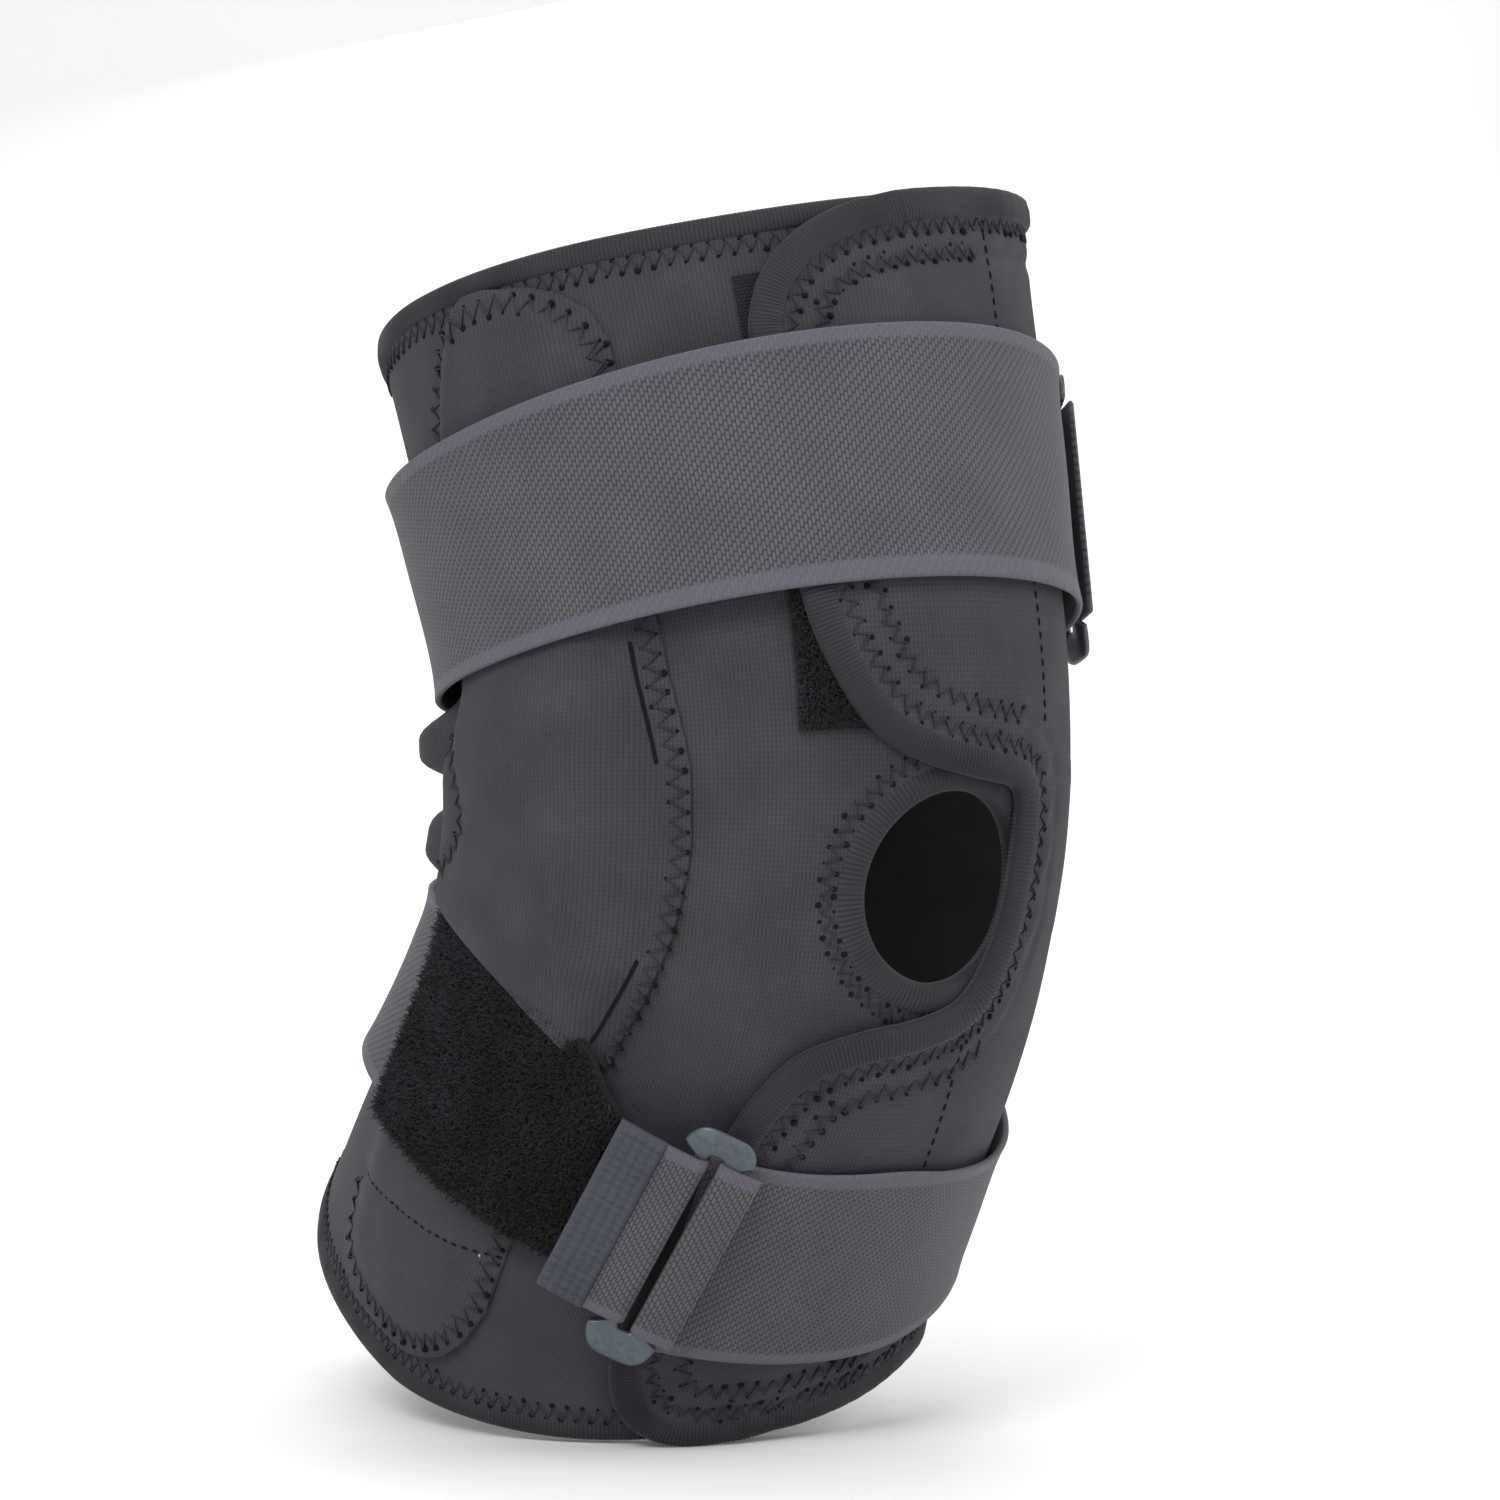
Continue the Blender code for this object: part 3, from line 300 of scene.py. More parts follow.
def guidePiece(name, runs):
    # each run is (path, out, closed); all of them become one wire mesh for a stitch tree
    points, edges, sides, outwards = [], [], [], []
    for path, out, closed in runs:
        at, _, outward, side = pathFrame(path, out, closed)
        first, count = len(points), len(at)
        points += at.tolist()
        sides += side.tolist()
        outwards += outward.tolist()
        edges += [(first + i, first + (i + 1) % count) for i in range(count if closed else count - 1)]
    mesh = bpy.data.meshes.new(name)
    mesh.from_pydata(points, edges, [])
    for label, values in (("side", sides), ("outward", outwards)):
        attribute = mesh.attributes.new(label, "FLOAT_VECTOR", "POINT")
        attribute.data.foreach_set("vector", np.array(values, dtype=np.float32).ravel())
    guide = bpy.data.objects.new(name, mesh)
    bpy.context.scene.collection.objects.link(guide)
    return guide


def treeSocket(tree, name, kind, direction="INPUT", value=None):
    socket = tree.interface.new_socket(name=name, in_out=direction, socket_type=kind)
    if value is not None:
        socket.default_value = value
    return socket


def newTree(name, inputs):
    tree = bpy.data.node_groups.new(name, "GeometryNodeTree")
    treeSocket(tree, "Geometry", "NodeSocketGeometry")
    for label, kind, value in inputs:
        treeSocket(tree, label, kind, value=value)
    treeSocket(tree, "Geometry", "NodeSocketGeometry", "OUTPUT")
    return tree, tree.nodes.new("NodeGroupInput"), tree.nodes.new("NodeGroupOutput")


def finishTree(tree, geometry, groupIn, groupOut):
    real = tree.nodes.new("GeometryNodeRealizeInstances")
    paint = tree.nodes.new("GeometryNodeSetMaterial")
    tree.links.new(geometry, real.inputs[0])
    tree.links.new(real.outputs[0], paint.inputs["Geometry"])
    tree.links.new(groupIn.outputs["Finish"], paint.inputs["Material"])
    tree.links.new(paint.outputs[0], groupOut.inputs[0])
    return tree


def mathNode(tree, operation, a, b=None):
    node = tree.nodes.new("ShaderNodeMath")
    node.operation = operation
    for slot, value in enumerate((a, b)):
        if value is None:
            continue
        if isinstance(value, (int, float)):
            node.inputs[slot].default_value = value
        else:
            tree.links.new(value, node.inputs[slot])
    return node.outputs[0]


def scaledVector(tree, attributeName, amount):
    named = tree.nodes.new("GeometryNodeInputNamedAttribute")
    named.data_type = "FLOAT_VECTOR"
    named.inputs["Name"].default_value = attributeName
    scale = tree.nodes.new("ShaderNodeVectorMath")
    scale.operation = "SCALE"
    tree.links.new(named.outputs[0], scale.inputs[0])
    tree.links.new(amount, scale.inputs["Scale"])
    return scale.outputs[0]


def stitchPoints(tree, groupIn):
    # the guide as a curve with one point at each stitch
    curve = tree.nodes.new("GeometryNodeMeshToCurve")
    resample = tree.nodes.new("GeometryNodeResampleCurve")
    resample.mode = "LENGTH"
    tree.links.new(groupIn.outputs["Geometry"], curve.inputs[0])
    tree.links.new(curve.outputs[0], resample.inputs["Curve"])
    tree.links.new(groupIn.outputs["Stitch Step"], resample.inputs["Length"])
    return resample.outputs[0]


def swungPoints(tree, groupIn):
    # every second stitch sits on the other side of its row
    place = tree.nodes.new("GeometryNodeSetPosition")
    tree.links.new(stitchPoints(tree, groupIn), place.inputs["Geometry"])
    index = tree.nodes.new("GeometryNodeInputIndex")
    odd = mathNode(tree, "MODULO", index.outputs[0], 2.0)
    swing = mathNode(tree, "MULTIPLY", mathNode(tree, "SUBTRACT", odd, 0.5), groupIn.outputs["Row Width"])
    return place, scaledVector(tree, "side", swing)


def buildZigzagTree():
    tree, groupIn, groupOut = newTree("zigzagSeam", (
        ("Stitch Step", "NodeSocketFloat", 0.0013), ("Row Width", "NodeSocketFloat", 0.003),
        ("Thread Radius", "NodeSocketFloat", 0.0002), ("Lift", "NodeSocketFloat", 0.0),
        ("Finish", "NodeSocketMaterial", None)))
    link = tree.links.new
    place, sway = swungPoints(tree, groupIn)
    sweep = tree.nodes.new("GeometryNodeCurveToMesh")
    profile = tree.nodes.new("GeometryNodeCurvePrimitiveCircle")
    profile.inputs["Resolution"].default_value = 5
    add = tree.nodes.new("ShaderNodeVectorMath")
    link(sway, add.inputs[0])
    link(scaledVector(tree, "outward", groupIn.outputs["Lift"]), add.inputs[1])
    link(add.outputs[0], place.inputs["Offset"])
    link(groupIn.outputs["Thread Radius"], profile.inputs["Radius"])
    link(place.outputs[0], sweep.inputs["Curve"])
    link(profile.outputs[0], sweep.inputs["Profile Curve"])
    sweep.inputs["Fill Caps"].default_value = True
    return finishTree(tree, sweep.outputs[0], groupIn, groupOut)


def buildPitTree():
    tree, groupIn, groupOut = newTree("needlePits", (
        ("Stitch Step", "NodeSocketFloat", 0.0013), ("Row Width", "NodeSocketFloat", 0.003),
        ("Pit Radius", "NodeSocketFloat", 0.0004), ("Seed", "NodeSocketInt", 3),
        ("Finish", "NodeSocketMaterial", None)))
    link = tree.links.new
    place, sway = swungPoints(tree, groupIn)
    ball = tree.nodes.new("GeometryNodeMeshIcoSphere")
    ball.inputs["Subdivisions"].default_value = 1
    spread = tree.nodes.new("GeometryNodeInstanceOnPoints")
    vary = tree.nodes.new("FunctionNodeRandomValue")
    vary.inputs[2].default_value = 0.6
    vary.inputs[3].default_value = 1.25
    link(sway, place.inputs["Offset"])
    link(groupIn.outputs["Pit Radius"], ball.inputs["Radius"])
    link(groupIn.outputs["Seed"], vary.inputs["Seed"])
    link(place.outputs[0], spread.inputs["Points"])
    link(ball.outputs[0], spread.inputs["Instance"])
    link(vary.outputs[1], spread.inputs["Scale"])
    return finishTree(tree, spread.outputs[0], groupIn, groupOut)


def buildDashTree():
    tree, groupIn, groupOut = newTree("straightSeam", (
        ("Stitch Step", "NodeSocketFloat", 0.003), ("Stitch Length", "NodeSocketFloat", 0.0022),
        ("Thread Radius", "NodeSocketFloat", 0.00025), ("Finish", "NodeSocketMaterial", None)))
    link = tree.links.new
    ball = tree.nodes.new("GeometryNodeMeshIcoSphere")
    ball.inputs["Radius"].default_value = 1.0
    ball.inputs["Subdivisions"].default_value = 1
    tangent = tree.nodes.new("GeometryNodeInputTangent")
    align = tree.nodes.new("FunctionNodeAlignRotationToVector")
    align.axis = "X"
    size = tree.nodes.new("ShaderNodeCombineXYZ")
    spread = tree.nodes.new("GeometryNodeInstanceOnPoints")
    half = mathNode(tree, "MULTIPLY", groupIn.outputs["Stitch Length"], 0.5)
    link(half, size.inputs[0])
    link(groupIn.outputs["Thread Radius"], size.inputs[1])
    link(groupIn.outputs["Thread Radius"], size.inputs[2])
    link(tangent.outputs[0], align.inputs["Vector"])
    link(stitchPoints(tree, groupIn), spread.inputs["Points"])
    link(ball.outputs[0], spread.inputs["Instance"])
    link(align.outputs[0], spread.inputs["Rotation"])
    link(size.outputs[0], spread.inputs["Scale"])
    return finishTree(tree, spread.outputs[0], groupIn, groupOut)


def buildPileTree():
    tree, groupIn, groupOut = newTree("loopPile", (
        ("Density", "NodeSocketFloat", 900000.0), ("Tuft Height", "NodeSocketFloat", 0.0016),
        ("Tuft Radius", "NodeSocketFloat", 0.0003), ("Seed", "NodeSocketInt", 4),
        ("Finish", "NodeSocketMaterial", None)))
    link = tree.links.new
    scatter = tree.nodes.new("GeometryNodeDistributePointsOnFaces")
    cone = tree.nodes.new("GeometryNodeMeshCone")
    cone.fill_type = "TRIANGLE_FAN"
    cone.inputs["Vertices"].default_value = 3
    tilt = tree.nodes.new("FunctionNodeRandomValue")
    tilt.data_type = "FLOAT_VECTOR"
    tilt.inputs[0].default_value = (-0.9, -0.9, 0.0)
    tilt.inputs[1].default_value = (0.9, 0.9, 6.28)
    turn = tree.nodes.new("FunctionNodeRotateRotation")
    turn.rotation_space = "LOCAL"
    spread = tree.nodes.new("GeometryNodeInstanceOnPoints")
    link(groupIn.outputs["Geometry"], scatter.inputs["Mesh"])
    link(groupIn.outputs["Density"], scatter.inputs["Density"])
    link(groupIn.outputs["Seed"], scatter.inputs["Seed"])
    link(groupIn.outputs["Seed"], tilt.inputs["Seed"])
    link(groupIn.outputs["Tuft Height"], cone.inputs["Depth"])
    link(groupIn.outputs["Tuft Radius"], cone.inputs["Radius Bottom"])
    cone.inputs["Radius Top"].default_value = 0.00006
    link(scatter.outputs["Rotation"], turn.inputs["Rotation"])
    link(tilt.outputs[0], turn.inputs["Rotate By"])
    link(scatter.outputs["Points"], spread.inputs["Points"])
    link(cone.outputs["Mesh"], spread.inputs["Instance"])
    link(turn.outputs[0], spread.inputs["Rotation"])
    return finishTree(tree, spread.outputs[0], groupIn, groupOut)


def grown(name, guide, tree, values):
    modifier = guide.modifiers.new("grow", "NODES")
    modifier.node_group = tree
    for item in tree.interface.items_tree:
        if item.item_type == "SOCKET" and item.in_out == "INPUT" and item.name in values:
            modifier[item.identifier] = values[item.name]
    bpy.context.view_layer.update()
    graph = bpy.context.evaluated_depsgraph_get()
    mesh = bpy.data.meshes.new_from_object(guide.evaluated_get(graph))
    mesh.name = name
    for label in ("side", "outward"):
        if label in mesh.attributes:
            mesh.attributes.remove(mesh.attributes[label])
    mesh.shade_smooth()
    bpy.data.objects.remove(guide, do_unlink=True)
    piece = bpy.data.objects.new(name, mesh)
    bpy.context.scene.collection.objects.link(piece)
    return piece


def shade(red, green, blue):
    # a colour from 0-255 display values
    return tuple(((c / 255 + 0.055) / 1.055) ** 2.4 if c > 10 else c / 255 / 12.92 for c in (red, green,
        blue)) + (1.0,)


def effectGroup(name, inputs, outputs):
    tree = bpy.data.node_groups.new(name, "ShaderNodeTree")
    for label, kind, value in inputs:
        treeSocket(tree, label, kind, value=value)
    for label, kind in outputs:
        treeSocket(tree, label, kind, "OUTPUT")
    return tree, tree.nodes.new("NodeGroupInput"), tree.nodes.new("NodeGroupOutput")


def texture(tree, kind, vector, scale, detail=2.0, output=0):
    node = tree.nodes.new(kind)
    tree.links.new(vector, node.inputs["Vector"])
    node.inputs["Scale"].default_value = scale
    if "Detail" in node.inputs:
        node.inputs["Detail"].default_value = detail
    return node.outputs[output]


def mixColour(tree, factor, a, b):
    node = tree.nodes.new("ShaderNodeMix")
    node.data_type = "RGBA"
    for slot, value in ((0, factor), (6, a), (7, b)):
        if hasattr(value, "is_linked") or hasattr(value, "links"):
            tree.links.new(value, node.inputs[slot])
        else:
            node.inputs[slot].default_value = value
    return node.outputs[2]


def stretched(tree, low, high, value, to=(0.0, 1.0)):
    node = tree.nodes.new("ShaderNodeMapRange")
    tree.links.new(value, node.inputs[0])
    for slot, number in zip((1, 2, 3, 4), (low, high) + to):
        node.inputs[slot].default_value = number
    return node.outputs[0]


def buildWeave():
    # Course and Wale are the thread pitches in metres along v and u, and the shifts stagger rows or columns
    tree, groupIn, groupOut = effectGroup("threadWeave", (
        ("Vector", "NodeSocketVector", None), ("Course", "NodeSocketFloat", 0.0009),
        ("Wale", "NodeSocketFloat", 0.0007), ("Row Shift", "NodeSocketFloat", 0.5),
        ("Column Shift", "NodeSocketFloat", 0.0),
        ("Chevron", "NodeSocketFloat", 0.0)),
        (("Height", "NodeSocketFloat"), ("Shadow", "NodeSocketFloat")))
    split = tree.nodes.new("ShaderNodeSeparateXYZ")
    tree.links.new(groupIn.outputs["Vector"], split.inputs[0])
    u = mathNode(tree, "DIVIDE", split.outputs[0], groupIn.outputs["Wale"])
    v = mathNode(tree, "DIVIDE", split.outputs[1], groupIn.outputs["Course"])
    v = mathNode(tree, "ADD", v, mathNode(tree, "MULTIPLY", mathNode(tree, "FLOOR", u),
                                          groupIn.outputs["Column Shift"]))
    fromMiddle = mathNode(tree, "ABSOLUTE", mathNode(tree, "SUBTRACT", mathNode(tree, "FRACT", u), 0.5))
    v = mathNode(tree, "ADD", v, mathNode(tree, "MULTIPLY", fromMiddle, groupIn.outputs["Chevron"]))
    u = mathNode(tree, "ADD", u, mathNode(tree, "MULTIPLY", mathNode(tree, "FLOOR", v),
                                          groupIn.outputs["Row Shift"]))
    across = mathNode(tree, "SINE", mathNode(tree, "MULTIPLY", mathNode(tree, "FRACT", u), math.pi))
    along = mathNode(tree, "SINE", mathNode(tree, "MULTIPLY", mathNode(tree, "FRACT", v), math.pi))
    height = mathNode(tree, "POWER", mathNode(tree, "MULTIPLY", across, along), 0.6)
    tree.links.new(height, groupOut.inputs["Height"])
    tree.links.new(stretched(tree, 0.15, 0.75, height), groupOut.inputs["Shadow"])
    return tree


def buildWearAndPitShade():
    # soft mottling, fine lint, and small pits that are sunk in the height and painted near-black as shade
    tree, groupIn, groupOut = effectGroup("lintWearAndPitShade", (
        ("Vector", "NodeSocketVector", None), ("Colour", "NodeSocketColor", (0.5, 0.5, 0.5, 1)),
        ("Worn Colour", "NodeSocketColor", (0.6, 0.6, 0.6, 1)), ("Speck Amount", "NodeSocketFloat", 0.5)),
        (("Colour", "NodeSocketColor"), ("Rough", "NodeSocketFloat"), ("Height", "NodeSocketFloat")))
    vector = groupIn.outputs["Vector"]
    cloud = stretched(tree, 0.35, 0.7, texture(tree, "ShaderNodeTexNoise", vector, 55.0, 3.0), (0.1, 0.6))
    fine = texture(tree, "ShaderNodeTexNoise", vector, 1500.0, 2.0)
    speck = stretched(tree, 0.10, 0.24, texture(tree, "ShaderNodeTexVoronoi", vector, 240.0), (1.0, 0.0))
    thin = stretched(tree, 0.46, 0.56, texture(tree, "ShaderNodeTexNoise", vector, 70.0, 2.0))
    speck = mathNode(tree, "MULTIPLY", mathNode(tree, "MULTIPLY", speck, thin),
                     groupIn.outputs["Speck Amount"])
    mixed = mixColour(tree, cloud, groupIn.outputs["Colour"], groupIn.outputs["Worn Colour"])
    grainy = mixColour(tree, mathNode(tree, "MULTIPLY", stretched(tree, 0.3, 0.7, fine), 0.35), mixed,
                       groupIn.outputs["Worn Colour"])
    # painted shade: the pits are darkened to near-black
    tree.links.new(mixColour(tree, speck, grainy, (0.008, 0.008, 0.01, 1)), groupOut.inputs["Colour"])
    tree.links.new(stretched(tree, 0.2, 0.8, fine, (0.72, 0.95)), groupOut.inputs["Rough"])
    tree.links.new(mathNode(tree, "SUBTRACT", fine, mathNode(tree, "MULTIPLY", speck, 1.5)),
                   groupOut.inputs["Height"])
    return tree


weaveGroup = buildWeave()
wearAndPitShadeGroup = buildWearAndPitShade()


def groupNode(tree, group, vector, values):
    node = tree.nodes.new("ShaderNodeGroup")
    node.node_tree = group
    tree.links.new(vector, node.inputs["Vector"])
    for label, value in values.items():
        node.inputs[label].default_value = value
    return node


def newMaterial(name, roughness, sheen=0.0, metallic=0.0, specular=0.5):
    material = bpy.data.materials.new(name)
    material.use_nodes = True
    tree = material.node_tree
    shader = tree.nodes["Principled BSDF"]
    shader.inputs["Roughness"].default_value = roughness
    shader.inputs["Metallic"].default_value = metallic
    shader.inputs["Specular IOR Level"].default_value = specular
    shader.inputs["Sheen Weight"].default_value = sheen
    shader.inputs["Sheen Roughness"].default_value = 0.45
    return material, tree, shader, tree.nodes.new("ShaderNodeTexCoord")


def bumpInto(tree, shader, height, strength, distance):
    node = tree.nodes.new("ShaderNodeBump")
    node.inputs["Strength"].default_value = strength
    node.inputs["Distance"].default_value = distance
    tree.links.new(height, node.inputs["Height"])
    tree.links.new(node.outputs[0], shader.inputs["Normal"])


def clothMaterial(name, look):
    material, tree, shader, coords = newMaterial(name, 0.85, look["sheen"],
                                                 specular=look.get("specular", 0.3))
    wearAndPitShade = groupNode(tree, wearAndPitShadeGroup, coords.outputs["Object"], {
        "Colour": shade(*look["colour"]), "Worn Colour": shade(*look["worn"]),
        "Speck Amount": look["specks"]})
    weave = groupNode(tree, weaveGroup, coords.outputs["UV"], {
        "Course": look["course"], "Wale": look["wale"], "Row Shift": look["rowShift"],
        "Column Shift": look["columnShift"],
        "Chevron": look.get("chevron", 0.0)})
    dark = mixColour(tree, weave.outputs["Shadow"], shade(*look["groove"]), wearAndPitShade.outputs["Colour"])
    colour = mixColour(tree, look["grooveMix"], wearAndPitShade.outputs["Colour"], dark)
    if "selvedge" in look:
        split = tree.nodes.new("ShaderNodeSeparateXYZ")
        tree.links.new(coords.outputs["UV"], split.inputs[0])
        fromMiddle = mathNode(tree, "ABSOLUTE", mathNode(tree, "SUBTRACT", split.outputs[1], 0.0285))
        colour = mixColour(tree, stretched(tree, 0.0245, 0.0255, fromMiddle, (0.0, 0.75)), colour,
                           shade(*look["selvedge"]))
    tree.links.new(colour, shader.inputs["Base Color"])
    tree.links.new(wearAndPitShade.outputs["Rough"], shader.inputs["Roughness"])
    height = mathNode(tree, "ADD", weave.outputs["Height"],
                      mathNode(tree, "MULTIPLY", wearAndPitShade.outputs["Height"], 0.5))
    bumpInto(tree, shader, height, look["bump"], look["depth"])
    return material


cloth = {
    "jersey": {"colour": (52, 49, 55), "worn": (74, 71, 78), "groove": (28, 26, 30), "grooveMix": 0.5,
               "course": 0.0008, "wale": 0.0010, "rowShift": 0.0, "columnShift": 0.0, "chevron": 1.3,
               "sheen": 0.04, "specks": 0.85, "bump": 0.5,
               "depth": 0.00022, "specular": 0.2},
    "elastic": {"colour": (74, 72, 79), "worn": (92, 89, 97), "groove": (30, 29, 33), "grooveMix": 0.85,
                "selvedge": (88, 86, 94),
                "course": 0.0023, "wale": 0.00085, "rowShift": 0.0, "columnShift": 0.37, "sheen": 0.08,
                "specks": 0.1, "bump": 0.55,
                "depth": 0.00022, "specular": 0.4},
    "edgeTape": {"colour": (48, 45, 52), "worn": (64, 61, 68), "groove": (18, 17, 20), "grooveMix": 0.7,
                 "course": 0.03, "wale": 0.001, "rowShift": 0.0, "columnShift": 0.0, "sheen": 0.08,
                 "specks": 0.1, "bump": 0.4,
                 "depth": 0.0002},
    "ribbedTape": {"colour": (60, 66, 72), "worn": (76, 82, 88), "groove": (26, 29, 33), "grooveMix": 0.5,
                   "course": 0.0005, "wale": 0.0005, "rowShift": 0.5, "columnShift": 0.0, "sheen": 0.05,
                   "specks": 0.1, "bump": 0.4,
                   "depth": 0.00015},
    "pileBacking": {"colour": (18, 18, 22), "worn": (30, 30, 36), "groove": (6, 6, 8), "grooveMix": 0.6,
                    "course": 0.001, "wale": 0.001, "rowShift": 0.5, "columnShift": 0.0, "sheen": 0.05,
                    "specks": 0.0, "bump": 0.8,
                    "depth": 0.0004},
    "hookTape": {"colour": (20, 20, 23), "worn": (30, 30, 34), "groove": (8, 8, 10), "grooveMix": 0.9,
                 "course": 0.0012, "wale": 0.0012, "rowShift": 0.5, "columnShift": 0.0, "sheen": 0.05,
                 "specks": 0.0, "bump": 0.9,
                 "depth": 0.0004},
    "foam": {"colour": (48, 47, 52), "worn": (62, 60, 66), "groove": (24, 24, 26), "grooveMix": 0.6,
             "course": 0.0009, "wale": 0.0008, "rowShift": 0.5, "columnShift": 0.0, "sheen": 0.08,
             "specks": 0.4, "bump": 0.5,
             "depth": 0.0002},
}
jersey = clothMaterial("knitJersey", cloth["jersey"])
elastic = clothMaterial("wovenElastic", cloth["elastic"])
edgeTape = clothMaterial("ribbedEdgeTape", cloth["edgeTape"])
ribbedTape = clothMaterial("ribbedGripTape", cloth["ribbedTape"])
pileBacking = clothMaterial("pileBacking", cloth["pileBacking"])
hookTape = clothMaterial("hookTape", cloth["hookTape"])
foam = clothMaterial("foamJersey", cloth["foam"])


def threadMaterial(name, colour, worn, roughness):
    material, tree, shader, coords = newMaterial(name, roughness, 0.04, specular=0.2)
    wearAndPitShade = groupNode(tree, wearAndPitShadeGroup, coords.outputs["Object"], {
        "Colour": shade(*colour), "Worn Colour": shade(*worn), "Speck Amount": 0.0})
    tree.links.new(wearAndPitShade.outputs["Colour"], shader.inputs["Base Color"])
    tree.links.new(wearAndPitShade.outputs["Rough"], shader.inputs["Roughness"])
    bumpInto(tree, shader, texture(tree, "ShaderNodeTexWave", coords.outputs["Object"], 900.0), 0.4, 0.0001)
    return material


thread = threadMaterial("sewingThread", (40, 37, 43), (64, 60, 68), 0.75)
# near-black: painted shade in the needle pits and the cover slits, and the colour of the dark thread in the
# straight seams
holeShadeAndDarkThread = threadMaterial("holeShadeAndDarkThreadMaterial", (5, 5, 6), (10, 9, 11), 0.95)
pileFibre = threadMaterial("pileFibre", (15, 15, 18), (58, 58, 64), 0.9)


def hardMaterial(name, colour, worn, roughness, metallic, brushed, scale):
    material, tree, shader, coords = newMaterial(name, roughness, metallic=metallic)
    mapping = tree.nodes.new("ShaderNodeMapping")
    mapping.inputs["Scale"].default_value = brushed
    tree.links.new(coords.outputs["Object"], mapping.inputs["Vector"])
    grain = texture(tree, "ShaderNodeTexNoise", mapping.outputs[0], scale, 3.0)
    scuff = stretched(tree, 0.5, 0.75, texture(tree, "ShaderNodeTexNoise", coords.outputs["Object"], 160.0,
                                               4.0))
    mixed = mixColour(tree, grain, shade(*colour), shade(*worn))
    tree.links.new(mixColour(tree, scuff, mixed, shade(*worn)), shader.inputs["Base Color"])
    tree.links.new(stretched(tree, 0.2, 0.8, grain, (roughness - 0.08, roughness + 0.12)),
                   shader.inputs["Roughness"])
    bumpInto(tree, shader, grain, 0.15, 0.0001)
    return material


buckleMetal = hardMaterial("buckleMetal", (60, 68, 72), (98, 108, 112), 0.38, 0.6, (1, 1, 1), 700.0)
barMetal = hardMaterial("brushedAluminium", (170, 172, 176), (205, 206, 208), 0.3, 1.0, (8, 8, 0.4), 400.0)
rivetMetal = hardMaterial("rivetSteel", (160, 160, 165), (200, 200, 202), 0.28, 1.0, (1, 1, 1), 900.0)
capPlastic = hardMaterial("mouldedCap", (26, 26, 29), (42, 42, 46), 0.55, 0.0, (1, 1, 1), 1200.0)
print("materials ready:", len(bpy.data.materials))


softPieces = []


def soft(piece, slotName, *nodes):
    if nodes:
        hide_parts(*nodes)
    softPieces.append(piece)
    return piece


body = {"frontPhi": -33.0, "backPhi": 302.5, "thick": 0.004, "step": 0.0019,
        "holeS": -0.0008, "holePhi": 0.5, "holeRadius": 0.0245, "holeReach": 2.3, "frontRadius": 0.070}


def snap(values, target):
    values[np.argmin(np.abs(values - target))] = target
    return values


def bodyOut(s, phi):
    # soft waves all over, creases behind the knee, and two folds that stand out behind the outer hinge
    turned = np.mod(phi, 360.0)
    waves = 0.0004 * (1 + wobble(s, phi, 0.034, 2.0))
    behind = ramp(turned, 112, 140) * (1 - ramp(turned, 222, 250)) * (1 - ramp(np.abs(s), 0.034, 0.062))
    creases = 0.0011 * (1 + np.sin(s / 0.0026 + 1.6 * np.sin(np.radians(turned * 1.7)))) * behind
    upperFold = 0.0135 * bump(np.abs(s - 0.0285) ** 1.6, 0, 0.0118 ** 1.6) * bump(turned, 121, 13)
    lowerFold = 0.0120 * bump(np.abs(s + 0.0045) ** 1.6, 0, 0.0145 ** 1.6) * bump(turned, 119, 10)
    innerFold = 0.0060 * bump(s, 0.024, 0.008) * bump(turned, 244, 13)
    return waves + creases + upperFold + lowerFold + innerFold


def bodySheet():
    metric = body["frontRadius"]
    rowValues = edgeSteps(-leg["hem"] + 0.001, leg["hem"] - 0.001, body["step"], body["thick"] / 2)
    columnValues = edgeSteps(body["frontPhi"], body["backPhi"], body["step"] * degPerMetre,
                             body["thick"] / 2 * degPerMetre)
    radius = body["holeRadius"]
    for sign in (-1, 1):
        rowValues = snap(rowValues, body["holeS"] + sign * radius / frontStretch)
        columnValues = snap(columnValues, body["holePhi"] + sign * math.degrees(radius / metric))
    s, phi = np.meshgrid(rowValues, columnValues, indexing="ij")
    x = np.radians(phi - body["holePhi"]) * metric
    y = (s - body["holeS"]) * frontStretch
    square = np.maximum(np.abs(x), np.abs(y))
    distance = np.maximum(np.hypot(x, y), 1e-9)
    scale = 1 + (square / distance - 1) * (1 - ramp(square, radius, radius * body["holeReach"]))
    s = body["holeS"] + y * scale / frontStretch
    phi = body["holePhi"] + np.degrees(x * scale / metric)
    middleSquare = (square[:-1, :-1] + square[1:, 1:] + square[1:, :-1] + square[:-1, 1:]) / 4
    keep = middleSquare > radius
    return sheetPiece("bodyPanel", s, phi, bodyOut(s, phi), body["thick"] + 0 * s, jersey, keep)


bodyPanel = soft(bodySheet(), "neoprene", "thigh_wrap", "calf_wrap", "knee_panel", "popliteal_panel")
print("body panel:", len(bodyPanel.data.polygons), "faces")

